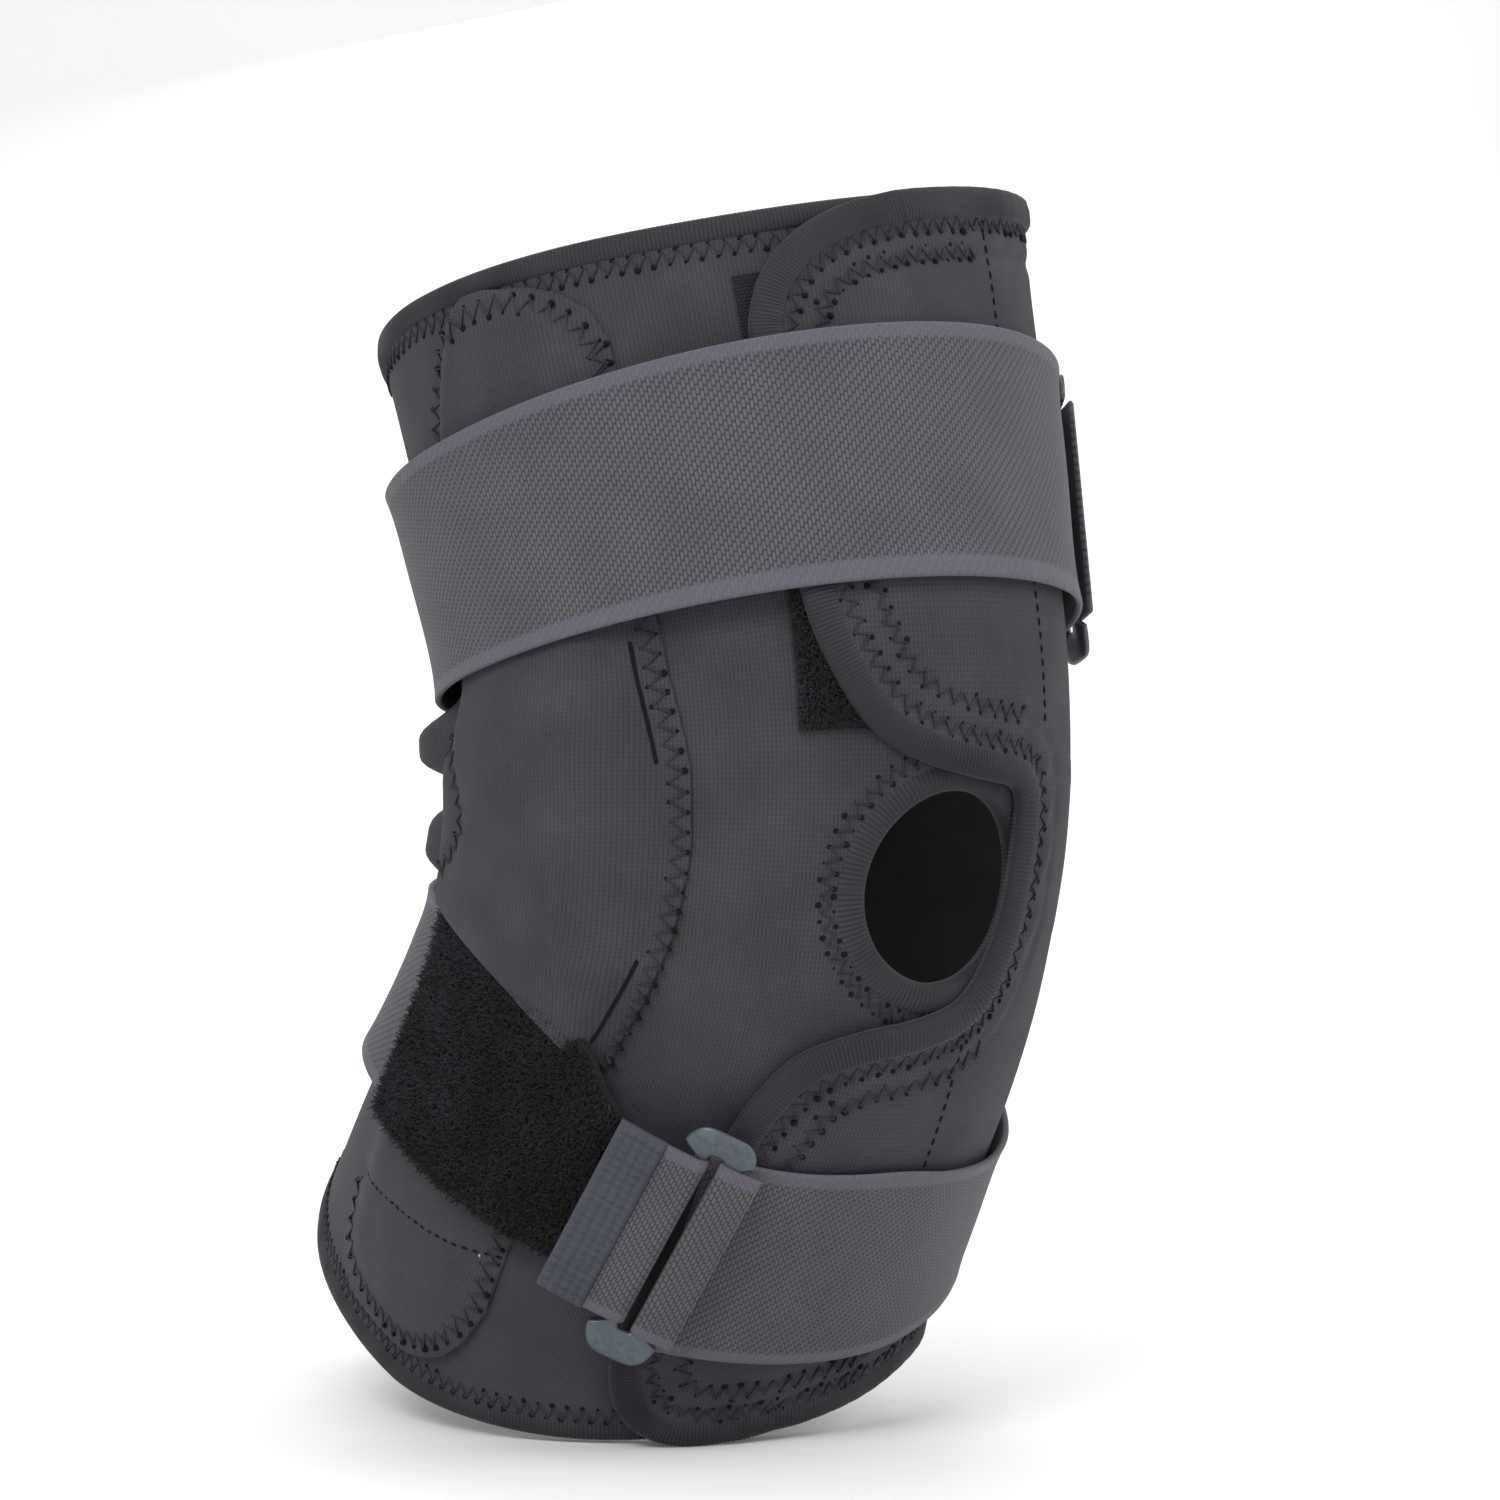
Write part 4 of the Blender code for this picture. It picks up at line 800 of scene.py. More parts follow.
# The closure: one panel on the inner side whose two flaps cross the front.
# Its free edge is (s, phi, s at the root).
closure = {
    "rootPhi": -57.0, "liftFrom": -52.0, "liftTo": -34.0, "over": 0.0054, "thick": 0.0030, "columns": 58,
    "step": 0.0018,
    "bindingWidth": 0.0080,
    "edge": (
        (0.1378, 4.0, 0.1385), (0.1355, 13.0, 0.130), (0.1300, 21.5, 0.121), (0.1210, 27.5, 0.112),
        (0.110, 30.8, 0.104),
        (0.098, 31.8, 0.095), (0.060, 31.3, 0.066), (0.043, 30.5, 0.053), (0.032, 27.0, 0.043),
        (0.023, 20.5, 0.034),
        (0.0182, 11.0, 0.026), (0.0160, 1.0, 0.018), (0.0150, -6.0, 0.0135), (0.0143, -11.0, 0.0105),
        (0.0128, -13.2, 0.0085),
        (0.0095, -13.6, 0.006), (0.002, -12.8, 0.001), (-0.006, -11.2, -0.004), (-0.0130, -8.2, -0.009),
        (-0.0175, -3.5, -0.014),
        (-0.0200, 5.0, -0.020),
        (-0.0222, 16.0, -0.028), (-0.0265, 26.5, -0.038), (-0.033, 32.0, -0.047), (-0.042, 35.5, -0.056),
        (-0.062, 38.5, -0.072),
        (-0.092, 41.5, -0.096), (-0.108, 42.0, -0.108), (-0.121, 39.5, -0.118), (-0.131, 34.0, -0.127),
        (-0.1372, 25.0, -0.134),
        (-0.1390, 12.0, -0.1385)),
}


def densePath(points, perSpan=20):
    points = np.array(points, float)
    padded = np.vstack([2 * points[0] - points[1], points, 2 * points[-1] - points[-2]])
    t = np.linspace(0, 1, perSpan, endpoint=False)[:, None]
    spans = []
    for p0, p1, p2, p3 in zip(padded, padded[1:], padded[2:], padded[3:]):
        spans.append(0.5 * (2 * p1 + (p2 - p0) * t + (2 * p0 - 5 * p1 + 4 * p2 - p3) * t**2
                            + (3 * p1 - p0 - 3 * p2 + p3) * t**3))
    return np.vstack(spans + [points[-1:]])


def evenPath(points, step, closed=False):
    # the same path with points an even real distance apart
    points = np.asarray(points, float)
    if closed:
        points = np.vstack([points, points[:1]])
    real = onLeg(points[:, 0], points[:, 1], measureOut)
    along = np.concatenate([[0], np.cumsum(np.linalg.norm(np.diff(real, axis=0), axis=1))])
    count = max(4, int(round(along[-1] / step)) + (0 if closed else 1))
    at = np.linspace(0, along[-1], count, endpoint=not closed)
    return np.stack([np.interp(at, along, points[:, k]) for k in range(points.shape[1])], 1)


freeEdge = densePath(closure["edge"])
hemPhis = np.linspace(closure["rootPhi"], 0.0, 14)
outline = np.vstack([
    np.stack([0.1385 - 0.0005 * ramp(hemPhis, -50, 0), hemPhis], 1),
    freeEdge[:, :2],
    np.stack([-0.1385 - 0.0005 * ramp(hemPhis[::-1], -50, 0), hemPhis[::-1]], 1)])
edgePoints = onLeg(outline[:, 0], outline[:, 1], measureOut)


def edgeDistance(s, phi):
    points = onLeg(s, phi, measureOut).reshape(-1, 3)
    nearest = np.full(len(points), 1.0)
    for start in range(0, len(edgePoints), 40):
        part = edgePoints[start:start + 40]
        nearest = np.minimum(nearest, np.linalg.norm(points[:, None] - part[None], axis=2).min(1))
    return nearest.reshape(np.shape(s))


def closureOut(s, phi):
    # it lies on the leg at its root, climbs over the body's front edge, and puckers between its stitch rows
    s, phi = np.broadcast_arrays(np.asarray(s, float), np.asarray(phi, float))
    lift = closure["over"] * ramp(phi, closure["liftFrom"], closure["liftTo"])
    away = edgeDistance(s, phi)
    rowGrooves = 0.0005 * bump(away, 0.0098, 0.0014) + 0.0005 * bump(away, 0.0168, 0.0016)
    pucker = 0.0003 * np.sin((s * 1.2 + np.radians(phi) * 0.076) / 0.0016) * bump(away, 0.013, 0.005)
    curl = 0.0008 * (1 - ramp(away, 0.0, 0.012)) * ramp(np.abs(s), 0.02, 0.05)
    waves = 0.0004 * (1 + wobble(s, phi, 0.026, 7.0))
    return lift + waves + pucker + curl - rowGrooves * ramp(phi, -48, -30)


def closureSheet():
    edge = evenPath(freeEdge, closure["step"])
    inset = 0.0035
    pulled = offsetPath(edge[:, :2], -inset)
    rowS, rowPhi = [], []
    half = closure["thick"] / 2
    for (edgeS, edgePhi), rootS in zip(pulled, edge[:, 2]):
        length = np.linalg.norm(onLeg(edgeS, edgePhi, measureOut) - onLeg(rootS, closure["rootPhi"],
            measureOut))
        share = edgeSteps(0.0, length, length / closure["columns"], half) / length
        rowS.append(rootS + (edgeS - rootS) * share)
        rowPhi.append(closure["rootPhi"] + (edgePhi - closure["rootPhi"]) * share)
    count = min(len(row) for row in rowS)
    s, phi = np.array([row[:count] for row in rowS]), np.array([row[:count] for row in rowPhi])
    hemInset = half / leg["hem"]
    s = s * (1 - hemInset)
    return sheetPiece("closureFlaps", s, phi, closureOut(s, phi), closure["thick"] + 0 * s, jersey)


closureFlaps = soft(closureSheet(), "neoprene", "thigh_flap", "calf_flap", "medial_knee_panel")
print("closure:", len(closureFlaps.data.polygons), "faces")


outlinePath = evenPath(outline, 0.00050)
outlineTape = tapePiece("flapEdgeTape", outlinePath, closureOut(outlinePath[:, 0],
                                                                outlinePath[:, 1]) + 0.0015,
                        closure["bindingWidth"], 0.0046, edgeTape, inset=0.06, rib=0.00030)
soft(outlineTape, "binding", "thigh_flap_binding", "calf_flap_binding", "cutout_binding")

hemRuns = {}
for label, sign in (("top", 1), ("bottom", -1)):
    phis = np.linspace(body["frontPhi"] + 1, body["backPhi"] - 1, 200)[::sign]
    hemRuns[label] = evenPath(np.stack([sign * leg["hem"] + 0 * phis, phis], 1), 0.00055)
    hemTape = tapePiece(label + "HemTape", hemRuns[label], bodyOut(*hemRuns[label].T) + 0.002, 0.0062, 0.0056,
                        edgeTape, inset=0.05, rib=0.00022)
    soft(hemTape, "binding", "thigh_hem_binding" if sign > 0 else "calf_hem_binding")


def kneeRing(radius, step):
    turn = np.linspace(0, 2 * math.pi, 180, endpoint=False)
    ring = np.stack([body["holeS"] + radius / frontStretch * np.sin(turn),
                     body["holePhi"] + np.degrees(radius / body["frontRadius"]) * np.cos(turn)], 1)
    return evenPath(ring, step, closed=True)


ringPath = kneeRing(0.0228, 0.0005)
ringPath = ringPath[: len(ringPath) // 2 * 2]
kneeTape = tapePiece("kneeOpeningTape", ringPath, bodyOut(*ringPath.T) + 0.002, 0.0075, 0.0054, edgeTape,
                     closed=True, inset=0.0, rib=0.00024)
soft(kneeTape, "binding", "patella_binding")
print("edge tapes done")


cover = {
    "thick": 0.0015, "base": 0.0042, "barLift": 0.0034, "hingeLift": 0.0108, "step": 0.0014,
    # s, front edge phi, back edge phi
    "outline": ((-0.045, 61.5, 118.0), (-0.038, 60.0, 118.0), (-0.027, 57.0, 118.0), (-0.015, 53.8, 118.0),
                (0.001, 51.8, 117.5),
                (0.015, 52.2, 116.0), (0.031, 55.0, 113.0), (0.045, 56.0, 109.0), (0.070, 54.8, 103.5),
                (0.100, 54.0, 96.0),
                (0.110, 54.2, 93.0), (0.120, 56.5, 89.0), (0.127, 61.5, 85.5), (0.131, 67.0, 82.0),
                (0.1325, 72.0, 78.0)),
    "seamBehind": ((0.131, 82.0), (0.127, 85.5), (0.105, 91.0), (0.075, 98.0), (0.042, 103.5),
                   (0.030, 103.5), (0.015, 99.0),
                   (0.004, 97.5), (-0.005, 101.0), (-0.010, 105.0)),
}


def lowerEdgeS(phi):
    # the cover is cut on a slant below, where the calf strap comes out from under it
    return -0.0405 + 0.00042 * np.clip(np.asarray(phi, float) - 58, 0, 70)


def coverOut(s, phi):
    s, phi = np.broadcast_arrays(np.asarray(s, float), np.asarray(phi, float))
    table = np.array(cover["outline"])
    front = np.interp(s, table[:, 0], table[:, 1])
    back = np.interp(s, table[:, 0], table[:, 2])
    t = (phi - front) / (back - front)
    rise = 1 - ramp(np.abs(s), 0.016, 0.050)
    lower = ramp(-s, 0.012, 0.030)
    lift = cover["barLift"] + (cover["hingeLift"] - cover["barLift"]) * np.maximum(rise, 0.62 * lower)
    dome = ramp(t, 0.02, 0.30 - 0.14 * lower) * (1 - ramp(t, 0.80, 1.0))
    seam = np.interp(s, np.array(cover["seamBehind"])[::-1, 0], np.array(cover["seamBehind"])[::-1, 1])
    groove = 0.0009 * bump(phi, seam, 1.6) * ramp(s, -0.014, -0.004)
    slits = 0.0008 * bump(phi, front + 5.6, 1.0)
    waves = 0.0005 * wobble(s, phi, 0.022, 11.0) * dome
    return cover["base"] + lift * dome - groove - slits * (1 - ramp(np.abs(np.abs(s) - 0.022), 0.008,
        0.012)) + waves


def patchSheet(name, outline, lowS, outAt, thick, material, step, mirror=1):
    table = np.array(outline)
    top, bottom = table[:, 0].max(), table[:, 0].min()
    rowValues = edgeSteps(bottom, top, step, thick / 2)
    share = edgeSteps(0.0, 1.0, step / 0.075, thick / 2 / 0.075)
    front = np.interp(rowValues, table[:, 0], table[:, 1])
    back = np.interp(rowValues, table[:, 0], table[:, 2])
    s = np.repeat(rowValues[:, None], len(share), 1)
    phi = front[:, None] + (back - front)[:, None] * share[None]
    if lowS is not None:
        s = top - (top - s) * (top - lowS(phi)) / (top - bottom)
    return sheetPiece(name, s, phi * mirror, outAt(s, phi), thick + 0 * s, material)


outerCover = patchSheet("outerHingeCover", cover["outline"], lowerEdgeS, coverOut, cover["thick"], jersey,
                        cover["step"])
soft(outerCover, "neoprene", "lateral_hinge_cover", "lateral_thigh_pocket")
innerOutline = tuple((s, max(front, 60.5), min(back, 116.0)) for s, front, back in cover["outline"])
innerCover = patchSheet("innerHingeCover", innerOutline, None, lambda s, phi: coverOut(np.abs(s), phi),
                        cover["thick"],
                        jersey, 0.0018, mirror=-1)
soft(innerCover, "neoprene", "medial_hinge_cover", "medial_thigh_pocket")

pocket = {
    "outline": ((-0.1312, 92.0, 104.0), (-0.1300, 84.0, 109.5), (-0.1260, 77.0, 114.0),
                (-0.1200, 72.5, 116.5), (-0.1100, 69.5, 118.0),
                (-0.0920, 68.5, 118.0), (-0.0500, 64.0, 117.0)),
    "innerOutline": ((-0.1290, 82.0, 92.0), (-0.1260, 74.0, 98.0), (-0.1200, 66.0, 102.0),
                     (-0.1100, 62.5, 103.0), (-0.0450, 60.5, 103.0)),
}


def pocketOut(s, phi):
    t = (phi - 66.0) / 52.0
    dome = ramp(t, 0.03, 0.28) * (1 - ramp(t, 0.74, 0.98))
    crossSeam = 0.0007 * bump(s, -0.0955 - 0.00022 * (phi - 68), 0.0012)
    return cover["base"] + 0.0030 * dome * ramp(s, -0.132, -0.116) - crossSeam + 0.0003 * wobble(s, phi,
        0.02, 5.0)


outerPocket = patchSheet("outerBarPocket", pocket["outline"], None, pocketOut, cover["thick"], jersey, 0.0016)
soft(outerPocket, "neoprene", "lateral_calf_pocket")
innerPocket = patchSheet("innerBarPocket", pocket["innerOutline"], None, lambda s,
                         phi: pocketOut(s, phi + 8), cover["thick"],
                         jersey, 0.0020, mirror=-1)
soft(innerPocket, "neoprene", "medial_calf_pocket")
print("covers and pockets done")


strap = {
    "width": 0.057, "thick": 0.0017, "over": 0.0100, "behind": 0.0046,
    "thighS": (0.0428, 0.1002), "thighPhi": (-64.0, 187.0),
    "thighPilePhi": (-68.5, -171.0),
    "calfS": (-0.1010, -0.0435), "calfPhi": (37.5, -250.5),
    "calfPilePhi": (41.0, 109.0), "calfPileLow": -0.0850,
}


def strapOut(s, phi):
    turned = np.abs(np.mod(np.asarray(phi, float) + 180.0, 360.0) - 180.0)
    return strap["over"] - (strap["over"] - strap["behind"]) * ramp(turned, 112, 152) + 0 * s


def calfStrapOut(s, phi):
    # the calf strap stands off the leg behind the outer pocket
    return strapOut(s, phi) + 0.0026 * bump(np.mod(phi, 360.0), 124.0, 12.0)


def strapSheet(name, lowS, highS, phis, outAt, material, step=0.002, flare=0.0006):
    first, last = min(phis), max(phis)
    columnValues = edgeSteps(first, last, step * degPerMetre, strap["thick"] / 2 * degPerMetre)
    share = edgeSteps(0.0, 1.0, step / strap["width"], strap["thick"] / 2 / strap["width"])
    low, high = lowS(columnValues), highS(columnValues)
    s = low[None] + (high - low)[None] * share[:, None]
    phi = np.repeat(columnValues[None], len(share), 0)
    edgeLift = flare * np.abs(2 * share - 1)[:, None] ** 6
    selvedge = -0.0002 * (bump(share, 0.032, 0.010) + bump(share, 0.968, 0.010))[:, None]
    waves = 0.0003 * wobble(s, phi, 0.03, 21.0)
    return sheetPiece(name, s, phi, outAt(s, phi) + edgeLift + selvedge + waves, strap["thick"] + 0 * s,
                      material,
                      across=strap["width"] * share[:, None] + 0 * s)


def level(value):
    return lambda phi: value + 0 * phi


thighStrap = strapSheet("thighStrapElastic", level(strap["thighS"][0]), level(strap["thighS"][1]),
                        strap["thighPhi"],
                        strapOut, elastic, flare=0.0010)
soft(thighStrap, "strap_elastic", "thigh_strap")
calfStrap = strapSheet("calfStrapElastic",
                       lambda phi: strap["calfS"][0] + 0.004 * ramp(-phi, 0, 50) + 0.016 * ramp(-phi, 120,
                           235),
                       lambda phi: strap["calfS"][1] - 0.0015 * ramp(phi, -5, 30) - 0.010 * ramp(-phi, -5,
                           60) * (1 - ramp(-phi, 90, 200))
                       + 0.020 * ramp(-phi, 140, 245),
                       strap["calfPhi"], calfStrapOut, elastic)
soft(calfStrap, "strap_elastic", "calf_strap")


def pileHigh(phi):
    # the pile strap is tucked under the cover's slanted edge
    tuck = 0.0045 * ramp(phi, 57, 64)
    return np.minimum(lowerEdgeS(phi) + tuck - 0.0055 * (1 - ramp(phi, 50, 59)), -0.0215)


calfPile = strapSheet("calfPileStrap", level(strap["calfPileLow"]), pileHigh, strap["calfPilePhi"],
                      calfStrapOut, pileBacking)
soft(calfPile, "loop_pile", "calf_pile_strap")
thighPile = strapSheet("thighPileStrap", level(strap["thighS"][0] + 0.001),
                       level(strap["thighS"][1] - 0.001), strap["thighPilePhi"],
                       strapOut, pileBacking)
soft(thighPile, "loop_pile", "thigh_pile_strap")
print("straps done")


patchOut = lambda s, phi: 0.0046 + 0 * s
for part, lowS, highS, phis in (("thigh", 0.0225, 0.121, (-24.0, 33.0)),
                                ("calf", -0.121, -0.046, (-24.0, 32.0))):
    columnValues = edgeSteps(*phis, 2.0, 0.4)
    s, phi = np.meshgrid(edgeSteps(lowS, highS, 0.002, 0.0004), columnValues, indexing="ij")
    patch = sheetPiece(part + "LoopPatch", s, phi, patchOut(s, phi) - 0.0002 + bodyOut(s, phi),
                       0.0009 + 0 * s, pileBacking)
    soft(patch, "loop_pile", part + "_loop_patch")


def strapFrame(sRange, phi, out, turn=0.0):
    sMid = sum(sRange) / 2
    here = onLeg(sMid, phi, out)
    outward = onLeg(sMid, phi, 0.02) - onLeg(sMid, phi, 0.0)
    around = onLeg(sMid, phi + 1.0, 0.0) - onLeg(sMid, phi - 1.0, 0.0)
    length = onLeg(sRange[1], phi - turn, 0.0) - onLeg(sRange[0], phi + turn, 0.0)
    span = float(np.linalg.norm(length))
    length = length / span
    flat = np.cross(around / np.linalg.norm(around), length)
    outward = flat / np.linalg.norm(flat) * np.sign(np.dot(flat, outward))
    around = around - length * np.dot(around, length)
    return here, length, outward, around / np.linalg.norm(around), span


buckle = {"halfSlot": 0.0024, "halfBar": 0.0056, "lobe": 0.0104, "overhang": 0.0076, "thick": 0.0022,
          "bar": 0.0028}


def buckleRing(name, sRange, phi, out, turn):
    # a flat ring with a long slot and two broad rounded ends
    here, length, outward, around, span = strapFrame(sRange, phi, out, turn)
    half = span / 2
    turns = np.linspace(0, 2 * math.pi, 128, endpoint=False)
    cos, sin = np.cos(turns), np.sin(turns)
    end = np.clip((np.abs(cos) - 0.80) / 0.20, 0, 1) ** 0.8
    outerX = np.sign(sin) * np.abs(sin) ** 0.45 * (buckle["halfBar"] + (buckle["lobe"] - buckle["halfBar"])
                                                   * ramp(np.abs(cos), 0.60, 0.68))
    outerY = np.sign(cos) * np.abs(cos) ** 0.55 * (half + buckle["overhang"] - 0.0004 * end)
    innerX = np.sign(sin) * np.abs(sin) ** 0.30 * buckle["halfSlot"]
    innerY = np.sign(cos) * np.abs(cos) ** 0.30 * (half - 0.0004)
    profile = ((0.0, 0.0), (0.03, 0.55), (0.14, 0.88), (0.35, 1.0), (0.65, 1.0), (0.86, 0.88), (0.97, 0.55),
               (1.0, 0.0),
               (0.97, -0.55), (0.86, -0.88), (0.5, -1.0), (0.14, -0.88), (0.03, -0.55))
    vertices, faces = [], []
    for w, z in profile:
        x = innerX + (outerX - innerX) * w
        y = innerY + (outerY - innerY) * w
        bow = 0.0010 * (np.abs(y) / half) ** 4
        vertices.append(here + around * x[:, None] + length * y[:,
                                                                None] + outward * (z * buckle["thick"] / 2
                                                                    + bow)[:, None])
    rings, count = len(profile), len(turns)
    for i in range(rings):
        j = (i + 1) % rings
        for k in range(count):
            n = (k + 1) % count
            faces.append((i * count + k, i * count + n, j * count + n, j * count + k))
    return cleaned(newPiece(name, np.concatenate(vertices), faces, buckleMetal))


def ribbon(name, centre, axis, span, thick, material, ribs=0.0, ribPitch=0.0015, columns=0.0006):
    # a strip of the strap's width that follows the centre line, with rounded sides
    centre = np.asarray(centre)
    tangent = np.gradient(centre, axis=0)
    tangent /= np.linalg.norm(tangent, axis=1)[:, None]
    normal = np.cross(tangent, axis)
    normal /= np.linalg.norm(normal, axis=1)[:, None]
    along = np.concatenate([[0], np.cumsum(np.linalg.norm(np.diff(centre, axis=0), axis=1))])
    across = edgeSteps(-span / 2, span / 2, columns if ribs else 0.002, thick / 2)
    share = np.minimum(roundShare(len(across))[:, None], 1 + 0 * along[None])
    share = share * np.clip(np.minimum(along, along[-1] - along) / (thick / 2) + 0.25, 0, 1)[None]
    raised = ribs * (np.abs(np.sin(math.pi * across / ribPitch))[:,
        None] * np.abs(np.sin(math.pi * along / 0.0024))[None] ** 0.5)
    base = centre[None] + axis[None, None] * across[:, None, None]
    top = base + normal[None] * ((thick / 2 + raised) * share)[..., None]
    bottom = base - normal[None] * (thick / 2 * share)[..., None]
    rows, count = share.shape
    index = np.arange(rows * count).reshape(rows, count)
    lower = index + rows * count
    faces = []
    for i in range(rows - 1):
        for j in range(count - 1):
            faces.append((index[i, j], index[i, j + 1], index[i + 1, j + 1], index[i + 1, j]))
            faces.append((lower[i, j], lower[i + 1, j], lower[i + 1, j + 1], lower[i, j + 1]))
        faces.append((index[i, 0], index[i + 1, 0], lower[i + 1, 0], lower[i, 0]))
        faces.append((index[i, -1], lower[i, -1], lower[i + 1, -1], index[i + 1, -1]))
    for j in range(count - 1):
        faces.append((index[0, j], lower[0, j], lower[0, j + 1], index[0, j + 1]))
        faces.append((index[-1, j], index[-1, j + 1], lower[-1, j + 1], lower[-1, j]))
    uv = np.stack(np.broadcast_arrays(along[None], (across[:, None] / span + 0.5) * strap["width"]),
                  -1).reshape(-1, 2)
    vertices = np.concatenate([top.reshape(-1, 3), bottom.reshape(-1, 3)])
    return cleaned(newPiece(name, vertices, faces, material, np.concatenate([uv, uv])))


def strapEnd(part, sRange, phi, direction, out, widths):
    here, length, outward, around, _ = strapFrame(sRange, phi, out, widths["turn"])
    toward = around * direction
    buckleRing(part + "Buckle", sRange, phi, out, widths["turn"])
    ring = bpy.data.objects[part + "Buckle"]
    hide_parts(part + "_buckle")
    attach(ring, part)
    reach = buckle["halfSlot"] + buckle["bar"] * 0.5
    hold = buckle["thick"] / 2 + 0.0003 + strap["thick"] / 2
    tailBody = part + "_tail"

    def aroundBar(side, startAngle, length1, bow):
        middleBar = here + toward * side * reach
        line = []
        for a in np.linspace(startAngle, 90, 12):
            turn = toward * side * math.cos(math.radians(a)) + outward * math.sin(math.radians(a))
            line.append(middleBar + turn * hold)
        for d in np.linspace(0, length1, 14)[1:]:
            line.append(middleBar + outward * (hold - bow(d)) + toward * side * d)
        return np.array(line)

    bow = lambda d: 0.5 * d * d / (leg["roundRadius"] + 0.012)
    tailLine = aroundBar(1, 165, widths["tail"], bow)
    axis = -length * direction
    tail = ribbon(part + "StrapTail", tailLine, axis, widths["tailSpan"], strap["thick"], elastic)
    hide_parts(part + "_strap_tail")
    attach(tail, tailBody)
    end = widths["tail"]
    middleBar = here + toward * reach
    tabLine = [middleBar + outward * (hold + 0.0002 - bow(d)) + toward * d for d in np.linspace(end - 0.0004,
        end + widths["tab"], 44)]
    tab = ribbon(part + "GripTab", tabLine, axis, widths["tailSpan"] + 0.0006, 0.0021, ribbedTape,
                 ribs=0.0009, ribPitch=0.0022)
    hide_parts(part + "_tail_tab")
    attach(tab, tailBody)
    loopLine = aroundBar(-1, 165, 0.008, bow)
    loop = ribbon(part + "BuckleLoop", loopLine, -axis, widths["loopSpan"], strap["thick"], elastic)
    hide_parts(part + "_buckle_loop")
    return tail, tab, loop


calfEnd = {"sRange": (-0.0945, -0.0430), "phi": 39.0, "turn": 3.0, "out": 0.0150, "tail": 0.0084,
           "tab": 0.0118,
           "tailSpan": 0.0490, "loopSpan": 0.0515}
thighEnd = {"sRange": (0.0430, 0.1000), "phi": -66.0, "turn": 0.0, "out": 0.0150, "tail": 0.0084,
            "tab": 0.0118,
            "tailSpan": 0.0550, "loopSpan": 0.0560}
calfTail, calfTab, calfLoop = strapEnd("calf", calfEnd["sRange"], calfEnd["phi"], 1, calfEnd["out"], calfEnd)
thighTail, thighTab, thighLoop = strapEnd("thigh", thighEnd["sRange"], thighEnd["phi"], -1, thighEnd["out"],
                                          thighEnd)
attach(calfLoop, "calf")
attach(thighLoop, "thigh")
print("buckles done")


stitch = {
    "hem": {"Stitch Step": 0.0019, "Row Width": 0.0031, "Thread Radius": 0.00032},
    "flap": {"Stitch Step": 0.0021, "Row Width": 0.0034, "Thread Radius": 0.00036},
    "pocket": {"Stitch Step": 0.0023, "Row Width": 0.0040, "Thread Radius": 0.00034},
    "pitRadius": 0.00085,
    "pitSink": 0.00042,
}
zigzagTree, pitTree, dashTree, pileTree = buildZigzagTree(), buildPitTree(), buildDashTree(), buildPileTree()


def runOn(path, heightAt, lift, closed=False):
    path = np.asarray(path, float)
    return path, heightAt(path[:, 0], path[:, 1]) + lift, closed


bodyTop = lambda s, phi: bodyOut(s, phi) + body["thick"]
closureTop = lambda s, phi: closureOut(s, phi) + closure["thick"]
coverTop = lambda s, phi: coverOut(s, phi) + cover["thick"]
pocketTop = lambda s, phi: pocketOut(s, phi) + cover["thick"]
insideFlap = offsetPath(evenPath(outline, 0.001), -0.0090)
patchRow = offsetPath(evenPath(outline[10:-10], 0.001), -0.0160)
patchRow = patchRow[(np.abs(patchRow[:, 0]) < 0.127) & (patchRow[:,
    1] > -13) & (np.abs(patchRow[:, 0]) > 0.0215)]
upperPatchRow, lowerPatchRow = patchRow[patchRow[:, 0] > 0], patchRow[patchRow[:, 0] < 0]
coverTable = np.array(cover["outline"])[::-1]
coverFront = evenPath(np.stack([coverTable[:, 0], coverTable[:, 1] + 2.2], 1)[4:], 0.001)
coverFront = coverFront[coverFront[:, 0] > -0.037]
coverCap = evenPath([(0.1040, 93.0), (0.116, 88.5), (0.1230, 84.0), (0.1275, 78.0), (0.1275, 70.0),
                     (0.1240, 64.5), (0.1180, 60.0),
                     (0.110, 57.0), (0.100, 56.5)], 0.001)
seamBehind = evenPath(densePath([p for p in cover["seamBehind"] if p[0] < 0.12]), 0.001)
pocketRun = evenPath(densePath([(-0.088, 71.0), (-0.100, 71.5), (-0.110, 72.3), (-0.1185, 76.0),
                                (-0.1240, 82.0), (-0.1265, 90.0),
                                (-0.1262, 99.0), (-0.1230, 106.0), (-0.1160, 111.5), (-0.108, 114.0)]), 0.001)
crossSeam = evenPath([(-0.0950, 70.0), (-0.0995, 88.0), (-0.1045, 110.0)], 0.001)
flapSeams = [evenPath([(0.1290, -16.0), (0.075, -17.0), (0.0240, -20.0)], 0.001),
             evenPath([(-0.0225, -6.0), (-0.125, -8.0)], 0.001)]
ringSeam = kneeRing(0.0322, 0.001)
hemRows = [runOn(offsetPath(hemRuns["top"], -0.0078), bodyTop, 0.0001),
           runOn(offsetPath(hemRuns["bottom"], -0.0078), bodyTop, 0.0001),
           runOn(ringSeam, bodyTop, 0.0001, True)]
flapRows = [runOn(insideFlap, closureTop, 0.0002), runOn(upperPatchRow, closureTop, 0.0002),
            runOn(lowerPatchRow, closureTop, 0.0002)]
pocketRows = [runOn(coverFront, coverTop, 0.0002), runOn(coverCap, coverTop, 0.0002),
              runOn(seamBehind, coverTop, 0.0003),
              runOn(pocketRun, pocketTop, 0.0002)]


